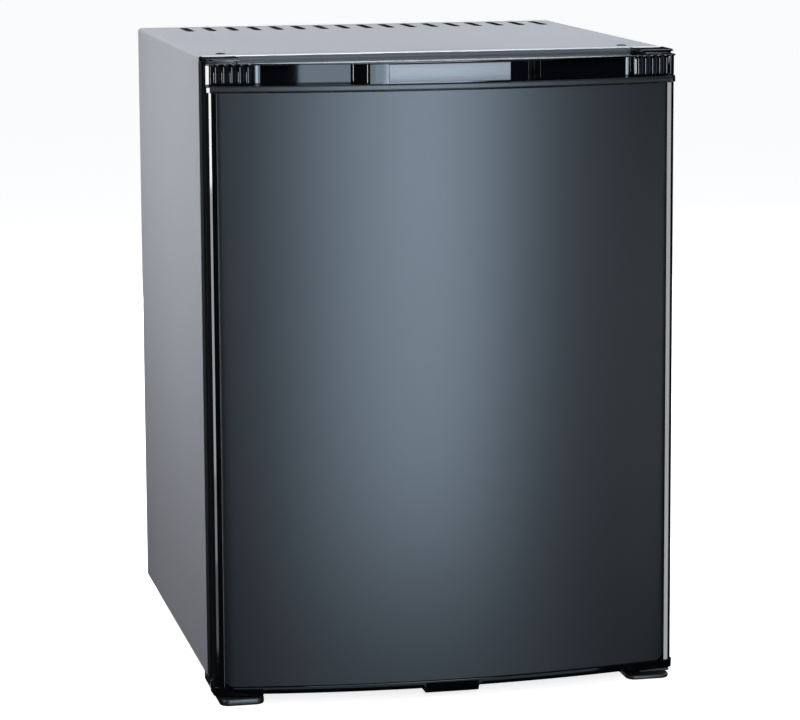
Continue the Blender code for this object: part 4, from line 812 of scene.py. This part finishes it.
# Small round parts, beads and hoops
AXES = {"+x": ((0, 1, 0), (0, 0, 1), (1, 0, 0)), "-x": ((0, -1, 0), (0, 0, 1), (-1, 0, 0)),
        "+y": ((-1, 0, 0), (0, 0, 1), (0, 1, 0)), "-y": ((1, 0, 0), (0, 0, 1), (0, -1, 0)),
        "+z": ((1, 0, 0), (0, 1, 0), (0, 0, 1)), "-z": ((1, 0, 0), (0, -1, 0), (0, 0, -1))}

# Ends of a bead: (distance from the end in half widths, share of the full size)
BEAD_TAPER = ((0.0, 0.05), (0.4, 0.6), (1.0, 0.9), (1.6, 1.0))
BEAD_TURNS = range(0, 181, 30)
BEAD_ROOT = 0.0004

# Screw head: (share of the radius, share of the height), then its cross recess
HEAD_LEVELS = ((1.0, 0.35), (0.93, 0.7), (0.8, 0.92), (0.66, 1.0))
HEAD_TURNS = range(-15, 345, 15)
CROSS_ARM = 0.52
CROSS_HALF = 0.14
CROSS_TAPER = 0.85
CROSS_FLOOR = 0.25


def local(place, axis, u, v, w):
    """Point at (u, v) across and w along an axis from a place."""
    across, up, along = AXES[axis]
    return tuple(place[i] + u * across[i] + v * up[i] + w * along[i] for i in range(3))


def lathe(place, axis, profile, steps=24):
    """Turned part; profile of (radius, height along the axis)."""
    circle = units(spread(0, 360, steps)[:-1])
    return [[local(place, axis, r * c, r * s, h) for c, s in circle] for r, h in profile]


def ridge(start, end, axis, half, height):
    """Half-round stiffening bead on a flat face, with tapered ends."""
    start, end = Vector(start), Vector(end)
    up = Vector(AXES[axis][2])
    side = (end - start).normalized().cross(up)
    length = (end - start).length
    rows = [(half * run, size) for run, size in BEAD_TAPER]
    rows += [(length - run, size) for run, size in reversed(rows)]
    loops = []
    for along, size in rows:
        centre = start + (end - start) * (along / length)
        arch = [centre + side * (half * size * c) + up * (height * size * s) for c, s in units(BEAD_TURNS)]
        loops.append([tuple(point) for point in arch] + [tuple(centre - up * BEAD_ROOT)])
    return loops


def screw(place, axis, radius, height):
    """Pan head with a cross recess."""
    arm, half = radius * CROSS_ARM, radius * CROSS_HALF
    corners = [(arm, -half), (arm, half), (half, half), (half, arm), (-half, arm), (-half, half),
               (-arm, half), (-arm, -half), (-half, -half), (-half, -arm), (half, -arm), (half, -half)]
    cross = []
    for first, second in zip(corners, corners[1:] + corners[:1]):
        cross += [first, ((first[0] + second[0]) / 2, (first[1] + second[1]) / 2)]
    head = [(radius, -STRIP)] + [(radius * share, height * level) for share, level in HEAD_LEVELS]
    loops = [[local(place, axis, r * c, r * s, level) for c, s in units(HEAD_TURNS)] for r, level in head]
    for share, level in ((1.0, height), (CROSS_TAPER, height * CROSS_FLOOR)):
        loops.append([local(place, axis, u * share, v * share, level) for u, v in cross])
    return loops


def ridges(name, rows, axis, finish):
    """Beads of the cabinet; rows of (start, end, half width, height)."""
    piece(name, [ridge(start, end, axis, half, height) for start, end, half, height in rows], finish)


def screws(name, places, axis, size, finish="zinc_steel", replaced=()):
    """Screws of the cabinet; size is (radius, height) of the head."""
    piece(name, [screw(place, axis, *size) for place in places], finish, replaced=replaced)


# Top sheet
VENT_FIRST = -0.16
VENT_LAST = 0.179
VENT_COUNT = 17
VENT_HALF = 0.0031
VENT_SPAN = (0.15475, 0.20475)
VENT_RIM = ((-0.0009, -0.0002), (-0.0008, 0.0001), (-0.0004, 0.0002), (0.0001, 0.0001), (0.0002, -0.0002),
            (0.0002, -0.001))
PLUG_PLACES = ((-0.1795, -0.14125, TOP), (0.169, -0.14125, TOP))
PLUG_SIZE = (0.0042, 0.0009)


def build_top_details():
    rim = [(margin, TOP + rise) for margin, rise in VENT_RIM]
    skins = [hoop((x - VENT_HALF, x + VENT_HALF, *VENT_SPAN), (VENT_HALF,) * 4, rim, at_z)
             for x in spread(VENT_FIRST, VENT_LAST, VENT_COUNT - 1)]
    # Black rims that line the vent slots: painted shade that darkens the slot edges and walls
    piece("vent_shade_rims", skins, "black_plastic")
    screws("top_screw_plugs", PLUG_PLACES, "+z", PLUG_SIZE, "black_plastic",
           ("top_plug_left", "top_plug_right"))


# Rear panel and flanges
PANEL_REAR = 0.14575
FLANGE_SCREW = (0.0036, 0.0013)
FLANGE_SCREWS = [(x, BACK, z) for x in (-0.1945, 0.1945)
                 for z in (0.03, 0.068, 0.19, 0.36, 0.5, 0.53)]
PANEL_SCREW = (0.0036, 0.0014)
PANEL_SCREWS = ([(x, PANEL_REAR, z) for x in (-0.19, -0.065, 0.065, 0.17) for z in (0.028, 0.535)]
                + [(x, PANEL_REAR, z) for x in (-0.19, 0.19) for z in (0.15, 0.29, 0.42)])
PANEL_BEAD = (0.0045, 0.0022)
PANEL_BEADS = ([((x, PANEL_REAR, 0.06), (x, PANEL_REAR, 0.505)) for x in (-0.176, 0.176)]
               + [((-0.06, PANEL_REAR, z), (0.03, PANEL_REAR, z)) for z in (0.345, 0.372)]
               + [((-0.165, PANEL_REAR, z), (0.14, PANEL_REAR, z)) for z in (0.045, 0.52)])

# Cooling unit: welds are (place, axis, radius of the tube)
UNIT_Y = 0.18615
PIPE = 0.0065
BOILER_X = 0.117
BOILER_RADIUS = 0.03
VESSEL_Z = 0.064
VESSEL_RADIUS = 0.022
WELD = 0.0011
WELD_STEPS = 28
WELD_TURNS = range(0, 360, 45)
WELDS = (((BOILER_X, UNIT_Y, 0.2994), "+z", PIPE), ((-0.1, UNIT_Y, 0.32), "+z", PIPE),
         ((-0.1, UNIT_Y, 0.4322), "+z", PIPE), ((-0.118, UNIT_Y, VESSEL_Z), "+x", VESSEL_RADIUS),
         ((0.05, UNIT_Y, VESSEL_Z), "+x", VESSEL_RADIUS))
VALVE_PLACE = (-0.1275, UNIT_Y, VESSEL_Z)
VALVE = ((0.0034, 0.0), (0.0034, 0.009), (0.0028, 0.0105), (0.0024, 0.012), (0.0024, 0.015),
         (0.001, 0.0165))

# Bands around the boiler, with an ear and a screw each, and the seam of its jacket
BAND_LEVELS = (0.0655, 0.108, 0.246, 0.2875)
BAND = ((0.0, 0.0), (0.0008, 0.0005), (0.0008, 0.0075), (0.0, 0.008), (-0.001, 0.004), (0.0, 0.0))
BAND_STEPS = 48
BAND_MIDDLE = 0.004
EAR_HALF = (0.005, 0.0032)
EAR_RADII = (0.001,) * 4
EAR_ROOT = 0.001
EAR_PROUD = 0.0022
EAR_SCREW = (0.0026, 0.001)
SEAM_OFFSET = 0.0212
SEAM_LEVELS = (0.075, 0.286)
SEAM = (0.0018, 0.001)

BAR_HALF = 0.18
BAR_FACE = BACK - 0.0013
BAR_LEVELS = (0.056, 0.488)
BAR_RISES = (0.003, 0.021)
BAR_RIDGE = (0.0016, 0.0009)


def build_rear_details():
    screws("rear_flange_screws", FLANGE_SCREWS, "+y", FLANGE_SCREW)
    screws("back_panel_screws", PANEL_SCREWS, "+y", PANEL_SCREW)
    ridges("back_panel_beads", [(*ends, *PANEL_BEAD) for ends in PANEL_BEADS], "+y", "black_steel")

    circle = units(WELD_TURNS)
    circle += circle[:1]
    skins = [lathe(place, axis, [(radius + WELD * c, WELD * s) for c, s in circle], WELD_STEPS)
             for place, axis, radius in WELDS]
    piece("unit_weld_beads", skins + [lathe(VALVE_PLACE, "-x", VALVE)], "black_steel")

    wall = UNIT_Y + BOILER_RADIUS
    half, rise = EAR_HALF
    foot, head = [(BOILER_X + SEAM_OFFSET, UNIT_Y + SEAM_OFFSET, z) for z in SEAM_LEVELS]
    skins = [ridge(foot, head, "+y", *SEAM)]
    band = [(BOILER_RADIUS + out, up) for out, up in BAND]
    for low in BAND_LEVELS:
        middle = low + BAND_MIDDLE
        ear = rounded(BOILER_X - half, BOILER_X + half, middle - rise, middle + rise, EAR_RADII,
                      FEW_STEPS)
        skins += [lathe((BOILER_X, UNIT_Y, low), "+z", band, BAND_STEPS),
                  [at_y(ear, wall - EAR_ROOT), at_y(ear, wall + EAR_PROUD)],
                  screw((BOILER_X, wall + EAR_PROUD, middle), "+y", *EAR_SCREW)]
    piece("boiler_bands", skins, "zinc_steel")

    rows = [((-BAR_HALF, BAR_FACE, z + rise), (BAR_HALF, BAR_FACE, z + rise), *BAR_RIDGE)
            for z in BAR_LEVELS for rise in BAR_RISES]
    ridges("bar_ridges", rows, "+y", "zinc_steel")


# Terminal box with its lid, and the inlet: collar of (how far drawn in, depth), pins of (across, up)
LID_OVERHANG = 0.0006
LID_BACK_GAP = 0.0004
LID_RADII = (0.003,) * 4
LID_ROWS = ((0.0, -0.005), (0.0, 0.001), (0.0005, 0.0017), (0.0014, 0.002))
LID_TOP = 0.002
LID_STEPS = 5
LID_SCREW = (0.0028, 0.0012)
LID_SCREWS = (-0.013, 0.013)
LID_SCREW_INSET = 0.012
PINS = ((-0.007, -0.0015), (0.0, 0.0025), (0.007, -0.0015))
PIN_ROWS = ((0.001, 0.002, 0.0046), (0.001, 0.002, 0.0014), (0.0007, 0.0016, 0.0007))
PIN_RADII = (0.0004,) * 4
COLLAR_RADII = (0.0025,) * 4
COLLAR = ((-0.0012, 0.0048), (-0.0012, 0.0034), (-0.0004, 0.0028), (0.0002, 0.0028), (0.0002, 0.0048))


def build_terminal_details():
    low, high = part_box("terminal_box")
    box = (low.x - LID_OVERHANG, high.x + LID_OVERHANG, low.y - LID_OVERHANG, high.y - LID_BACK_GAP)
    lid = stack(box, LID_RADII, [(margin, high.z + rise) for margin, rise in LID_ROWS], steps=LID_STEPS)
    piece("terminal_lid", [lid], "black_plastic", sharp=SHARP_MOULDING)
    middle, top = (low.x + high.x) / 2, high.z + LID_TOP
    places = [(middle + offset, low.y + LID_SCREW_INSET, top) for offset in LID_SCREWS]
    places += [(middle, high.y - LID_SCREW_INSET, top)]
    screws("terminal_lid_screws", places, "+z", LID_SCREW)
    low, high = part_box("power_inlet")
    skins = []
    for across, up in PINS:
        x, z = (low.x + high.x) / 2 + across, (low.z + high.z) / 2 + up
        skins.append([at_y(rounded(x - half, x + half, z - rise, z + rise, PIN_RADII, FEW_STEPS),
                           high.y - depth) for half, rise, depth in PIN_ROWS])
    piece("inlet_pins", skins, "zinc_steel")
    rows = [(margin, high.y - depth) for margin, depth in COLLAR]
    collar = hoop((low.x, high.x, low.z, high.z), COLLAR_RADII, rows, at_y)
    piece("inlet_collar", [collar], "black_plastic")


# Rear feet and base: rows of (share of the radius, level); the grooves repeat upwards
PAD_FOOT = ((0.8, 0.0), (0.86, 0.0003), (0.88, 0.0012))
PAD_GROOVE = ((0.92, 0.0), (0.95, 0.0012), (0.94, 0.0026), (0.88, 0.0031), (0.88, 0.0036))
PAD_GROOVES = (0.002, 0.006, 0.01)
PAD_SHOULDER = 0.0142
PAD_STEPS = 40
BASE = 0.0155
BASE_SCREW = (0.004, 0.0014)
BASE_SCREWS = ([(x, y, BASE) for x in (-0.178, 0.178) for y in (-0.1, 0.06)]
               + [(0.0, -0.145, BASE), (-0.12, 0.2, BASE), (0.12, 0.2, BASE)])
BASE_BEAD = (0.006, 0.0022)
BASE_BEADS = [((x, -0.12, BASE), (x, 0.12, BASE)) for x in (-0.105, -0.035, 0.035, 0.105)]


def build_rear_feet():
    for word in ("left", "right"):
        low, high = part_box("rear_foot_" + word)
        radius = (high.x - low.x) / 2
        profile = [(radius * share, z) for share, z in PAD_FOOT]
        profile += [(radius * share, start + z) for start in PAD_GROOVES for share, z in PAD_GROOVE]
        profile += [(radius, PAD_SHOULDER), (radius, high.z)]
        pad = lathe(((low.x + high.x) / 2, (low.y + high.y) / 2, 0.0), "+z", profile, PAD_STEPS)
        piece("rear_foot_pad_" + word, [pad], "black_plastic", replaced=("rear_foot_" + word,))


def build_base_details():
    screws("base_screws", BASE_SCREWS, "-z", BASE_SCREW)
    ridges("base_beads", [(*ends, *BASE_BEAD) for ends in BASE_BEADS], "-z", "black_steel")


# Room: the shelf lip has rows of (depth, level from the top of the ledge)
LIP_HALF = 0.1631
LEDGE_TOPS = (0.2048, 0.35691)
SHELF_LIP = ((-0.0868, -0.006), (-0.0873, -0.0054), (-0.0875, -0.001), (-0.087, 0.0004), (-0.0858, 0.0012),
             (-0.084, 0.0014), (-0.0822, 0.0012), (-0.081, 0.0004), (-0.0806, -0.001), (-0.0808, -0.0054),
             (-0.0813, -0.006))
ROOM_BACK = 0.10975
ROOM_BEADS = ([((x, ROOM_BACK, 0.075), (x, ROOM_BACK, 0.365), 0.006, 0.0016) for x in (-0.125, 0.125)]
              + [((-0.105, ROOM_BACK, z), (0.105, ROOM_BACK, z), 0.005, 0.0014) for z in (0.12, 0.27)])
COLD_SCREW = (0.0032, 0.0016)
COLD_SCREWS = [(x, 0.1061, z) for x in (-0.083, 0.083) for z in (0.402, 0.476)]

# Lamp lens with ribs; its edges have rows of (set back, drawn in)
LENS_PRISMS = 14
LENS_STEPS = 6
LENS_RIB = 0.0007
LENS_END = 0.0012
LENS_EDGE = ((0.001, 0.0), (0.0003, 0.0004), (0.0, 0.001))

# Thermostat: rows of the dial are (depth, radius, depth of its flutes); marks have
# inner and outer radius, half width and depths
KNOB = (0.034, 0.4947)
CONTROL_FACE = -0.07825
DIAL_STEPS = 96
DIAL_FLUTES = 24
DIAL = ((-0.0726, 0.0027, 0.0), (-0.078, 0.0027, 0.0), (-0.0786, 0.006, 0.0), (-0.0786, 0.0086, 0.0),
        (-0.079, 0.0088, 0.0), (-0.0802, 0.0088, 0.0), (-0.0806, 0.0084, 0.0005), (-0.0868, 0.0081, 0.0005),
        (-0.0876, 0.0077, 0.0003), (-0.08805, 0.007, 0.0), (-0.08805, 0.0052, 0.0), (-0.0877, 0.0048, 0.0))
POINTER = (0.0052, 0.0079, 0.0005, (-0.0872, -0.0882))
TICK = (0.0092, 0.0106, 0.0003, (CONTROL_FACE + STRIP, CONTROL_FACE - FIT))
TICK_ANGLES = range(225, -46, -45)


def build_shelf_caps():
    sections = [[(y, top + rise) for y, rise in SHELF_LIP] for top in LEDGE_TOPS]
    skins = [[at_x(section, -LIP_HALF), at_x(section, LIP_HALF)] for section in sections]
    piece("shelf_lip_caps", skins, "liner_plastic")


def knob_mark(angle, inner, outer, half, levels):
    """Flat mark that points away from the knob's axis."""
    c, s = units((angle,))[0]
    outline = [(KNOB[0] + r * c - w * s, KNOB[1] + r * s + w * c)
               for r, w in ((inner, -half), (outer, -half), (outer, half), (inner, half))]
    return [at_y(outline, y) for y in levels]


def build_controls():
    low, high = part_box("lamp_lens")
    loops = []
    for x in spread(low.x, high.x, LENS_PRISMS * LENS_STEPS):
        wave = abs(math.sin(math.pi * (x - low.x) / (high.x - low.x) * LENS_PRISMS))
        front = low.y + LENS_RIB * (1.0 - wave) + (LENS_END if min(x - low.x, high.x - x) < FIT else 0.0)
        section = [(high.y, low.z)] + [(front + back, low.z + inward) for back, inward in LENS_EDGE]
        section += [(front + back, high.z - inward) for back, inward in reversed(LENS_EDGE)]
        loops.append(at_x(section + [(high.y, high.z)], x))
    piece("lamp_lens_ribbed", [loops], "clear_plastic", replaced=("lamp_lens",), sharp=SHARP_LENS)

    loops = []
    for y, radius, depth in DIAL:
        loop = []
        for step in range(DIAL_STEPS):
            a = 2 * math.pi * step / DIAL_STEPS
            r = radius - depth * (0.5 - 0.5 * math.cos(DIAL_FLUTES * a))
            loop.append((KNOB[0] + r * math.cos(a), y, KNOB[1] + r * math.sin(a)))
        loops.append(loop)
    piece("thermostat_dial", [loops], "black_plastic", "knob", ("thermostat_knob",), SHARP_DIAL)
    piece("thermostat_pointer", [knob_mark(TICK_ANGLES[0], *POINTER)], "liner_plastic", "knob")
    piece("thermostat_ticks", [knob_mark(angle, *TICK) for angle in TICK_ANGLES], "black_plastic")


def build_liner_details():
    ridges("room_back_beads", ROOM_BEADS, "-y", "liner_plastic")
    screws("evaporator_screws", COLD_SCREWS, "-y", COLD_SCREW)


# Door inside: rows of (how far drawn in, level), where a level is a depth for the seal and
# a height above the bin for its rim
SEAL_BOX = (-0.187, 0.187, 0.03, 0.528)
SEAL_RADII = (0.014,) * 4
SEAL_PROFILE = ((0.003, -0.17095), (0.0012, -0.17045), (0.0022, -0.16975), (0.0004, -0.16915),
                (0.0016, -0.16845), (0.0, -0.16775), (0.0004, -0.16695), (0.0016, -0.16655),
                (0.01, -0.16655), (0.0114, -0.16705), (0.0118, -0.16775), (0.0102, -0.16845),
                (0.0112, -0.16915), (0.0094, -0.16975), (0.0104, -0.17045), (0.009, -0.17095))
SEAL_STEPS = 12
BIN_BOX = (-0.146, 0.146, -0.17095, -0.09225)
BIN_RADII = (0.001, 0.012, 0.012, 0.001)
BIN_TOPS = (("lower", 0.141), ("upper", 0.405))
BIN_RIM = ((-0.0006, -0.005), (-0.001, -0.0044), (-0.0011, -0.001), (-0.0007, 0.0004), (0.0002, 0.001),
           (0.0012, 0.0012), (0.0022, 0.001), (0.0029, 0.0002), (0.0031, -0.0012), (0.001, -0.003))
SOCKET_PLACES = ((-0.1435, -0.1716, 0.196), (0.1435, -0.1716, 0.196))
SOCKET = ((0.0062, 0.0), (0.0062, 0.003), (0.0056, 0.0042), (0.0046, 0.0075), (0.004, 0.009),
          (0.0024, 0.009))


def build_gasket():
    seal = hoop(SEAL_BOX, SEAL_RADII, SEAL_PROFILE, at_y, SEAL_STEPS)
    piece("door_seal_bellows", [seal], "seal_rubber", "door", ("door_gasket",), SHARP_STRIP)


def build_bin_details():
    for word, top in BIN_TOPS:
        rim = hoop(BIN_BOX, BIN_RADII, [(margin, top + rise) for margin, rise in BIN_RIM], at_z)
        piece("bin_rim_" + word, [rim], "clear_plastic", "door")
    piece("rail_sockets", [lathe(place, "+y", SOCKET) for place in SOCKET_PLACES], "liner_plastic", "door")


# Studio: skies are (height of the ray from 0 to 1, colour)
FLOOR_SIZE = 60.0
SOFT_SKY = ((0.45, (0.01, 0.01, 0.01)), (0.62, (0.2, 0.21, 0.24)), (0.8, (0.11, 0.115, 0.12)),
            (0.95, (0.24, 0.25, 0.27)))
DIM_SKY = ((0.45, (0.006, 0.007, 0.008)), (0.62, (0.02, 0.022, 0.025)), (0.9, (0.12, 0.125, 0.13)))

# Lamps: name, place, aim, size, watts, what they light, colour
MATT = (True, False)
MIRROR = (False, True)
BOTH = (True, True)
COOL = (0.66, 0.83, 1.0)
LAMPS = (
    ("front_far", (0.355, -2.15, 0.42), (0.0, -0.2, 0.42), (0.46, 1.78), 19.6, MIRROR, COOL),
    ("front_near", (0.095, -1.42, 0.42), (0.0, -0.2, 0.37), (0.67, 1.56), 16.3, MIRROR, COOL),
    ("front_upper", (0.16, -1.42, 0.75), (0.0, -0.2, 0.4), (0.34, 0.9), 1.4, MIRROR, COOL),
    ("left_strip", (-1.51, -0.92, 0.222), (-0.2, -0.19, 0.222), (0.16, 0.675), 2.55, MIRROR, WHITE),
    ("left_strip_low", (-1.51, -0.92, -0.175), (-0.2, -0.19, -0.175), (0.16, 0.12), 0.26, MIRROR, WHITE),
    ("left_strip_end", (-1.51, -0.92, -0.295), (-0.2, -0.19, -0.295), (0.16, 0.12), 0.12, MIRROR, WHITE),
    ("front_low", (0.15, -1.15, -0.62), (0.0, -0.2, 0.01), (1.2, 0.4), 1.1, MIRROR, COOL),
    ("left_strip_top", (-1.49, -0.91, 0.42), (-0.2, -0.19, 0.42), (0.16, 0.3), 2.2, MIRROR, WHITE),
    ("front_fill", (0.1, -2.4, 1.2), (0.0, 0.0, 0.3), (1.2, 1.0), 18.0, MATT, WHITE),
    ("left_high", (-0.8, -0.1, 1.25), (-0.2, 0.05, 0.55), (0.5, 0.8), 3.2, BOTH, WHITE),
    ("right_strip", (1.256, -1.372, -0.02), (0.194, -0.176, -0.02), (0.05, 1.1), 1.5, MIRROR, WHITE),
    ("right_side", (1.9, 0.5, 1.0), (0.0, 0.2, 0.3), (1.0, 1.2), 11.0, BOTH, WHITE),
    ("overhead", (0.25, 0.15, 1.5), (0.1, 0.05, 0.5), (1.0, 1.2), 10.0, BOTH, WHITE),
    ("left_near", (-0.65, 0.03, 0.5), (-0.2, 0.03, 0.5), (0.7, 0.25), 2.5, MATT, WHITE),
    ("rear_box", (0.0, 2.1, 1.5), (0.0, 0.2, 0.3), (0.4, 0.8), 20.0, MATT, WHITE),
    ("rear_low", (0.25, 2.2, 0.15), (0.1, 0.2, 0.28), (0.8, 0.7), 30.0, MATT, WHITE),
    ("rear_gloss", (0.1, 2.1, -0.3), (0.1, 0.2, -0.1), (0.6, 0.7), 8.0, MIRROR, WHITE),
)


def make_floor():
    half = FLOOR_SIZE / 2
    mesh = bpy.data.meshes.new("studio_floor")
    mesh.from_pydata([(-half, -half, 0.0), (half, -half, 0.0), (half, half, 0.0), (-half, half, 0.0)], [],
                     [(0, 1, 2, 3)])
    floor = bpy.data.objects.new("studio_floor", mesh)
    bpy.context.scene.collection.objects.link(floor)
    mesh.materials.append(MATERIALS["studio_floor"])
    floor.visible_diffuse = False
    floor.visible_glossy = False
    floor.visible_shadow = False


def sky(new, link, stops):
    """Background whose colour follows the height of the ray."""
    split = new("ShaderNodeSeparateXYZ")
    link(new("ShaderNodeTexCoord").outputs["Generated"], split.inputs["Vector"])
    rescale = new("ShaderNodeMapRange")
    rescale.inputs["From Min"].default_value = -1.0
    link(split.outputs["Z"], rescale.inputs["Value"])
    colours = new("ShaderNodeValToRGB")
    elements = colours.color_ramp.elements
    while len(elements) < len(stops):
        elements.new(0.5)
    for element, (position, colour) in zip(elements, stops):
        element.position = position
        element.color = (*colour, 1.0)
    link(rescale.outputs["Result"], colours.inputs["Fac"])
    back = new("ShaderNodeBackground")
    link(colours.outputs["Color"], back.inputs["Color"])
    return back.outputs["Background"]


def make_world():
    """White behind the object, a soft sky for matt surfaces and a dim room for reflections."""
    world = bpy.data.worlds.new("studio_world")
    world.use_nodes = True
    nodes = world.node_tree.nodes
    new, link = nodes.new, world.node_tree.links.new
    white = nodes["Background"]
    white.inputs["Color"].default_value = (*WHITE, 1.0)
    path, inner, outer = [new("ShaderNode" + kind) for kind in ("LightPath", "MixShader", "MixShader")]
    link(path.outputs["Is Glossy Ray"], inner.inputs["Fac"])
    link(sky(new, link, SOFT_SKY), inner.inputs[1])
    link(sky(new, link, DIM_SKY), inner.inputs[2])
    link(path.outputs["Is Camera Ray"], outer.inputs["Fac"])
    link(inner.outputs["Shader"], outer.inputs[1])
    link(white.outputs["Background"], outer.inputs[2])
    link(outer.outputs["Shader"], nodes["World Output"].inputs["Surface"])
    bpy.context.scene.world = world


def make_lights():
    for name, place, aim, size, watts, (diffuse, glossy), colour in LAMPS:
        data = bpy.data.lights.new(name, "AREA")
        data.shape = "RECTANGLE"
        data.size, data.size_y = size
        data.energy = watts
        data.color = colour
        lamp = bpy.data.objects.new(name, data)
        bpy.context.scene.collection.objects.link(lamp)
        lamp.location = place
        lamp.rotation_euler = (Vector(aim) - Vector(place)).to_track_quat("-Z", "Y").to_euler()
        lamp.visible_camera = False
        lamp.visible_diffuse = diffuse
        lamp.visible_glossy = glossy


make_camera()
make_world()
MATERIALS = make_materials()
dress_nodes()
make_floor()
make_lights()
build_panel()
build_top_moulding()
build_lip()
build_plate()
build_trims()
build_bottom_moulding()
build_corner_covers()
build_feet()
build_vent_shade_screen()
build_hem()
build_top_details()
build_rear_details()
build_terminal_details()
build_rear_feet()
build_base_details()
build_shelf_caps()
build_controls()
build_liner_details()
build_gasket()
build_bin_details()
bpy.context.scene.view_settings.view_transform = "Standard"
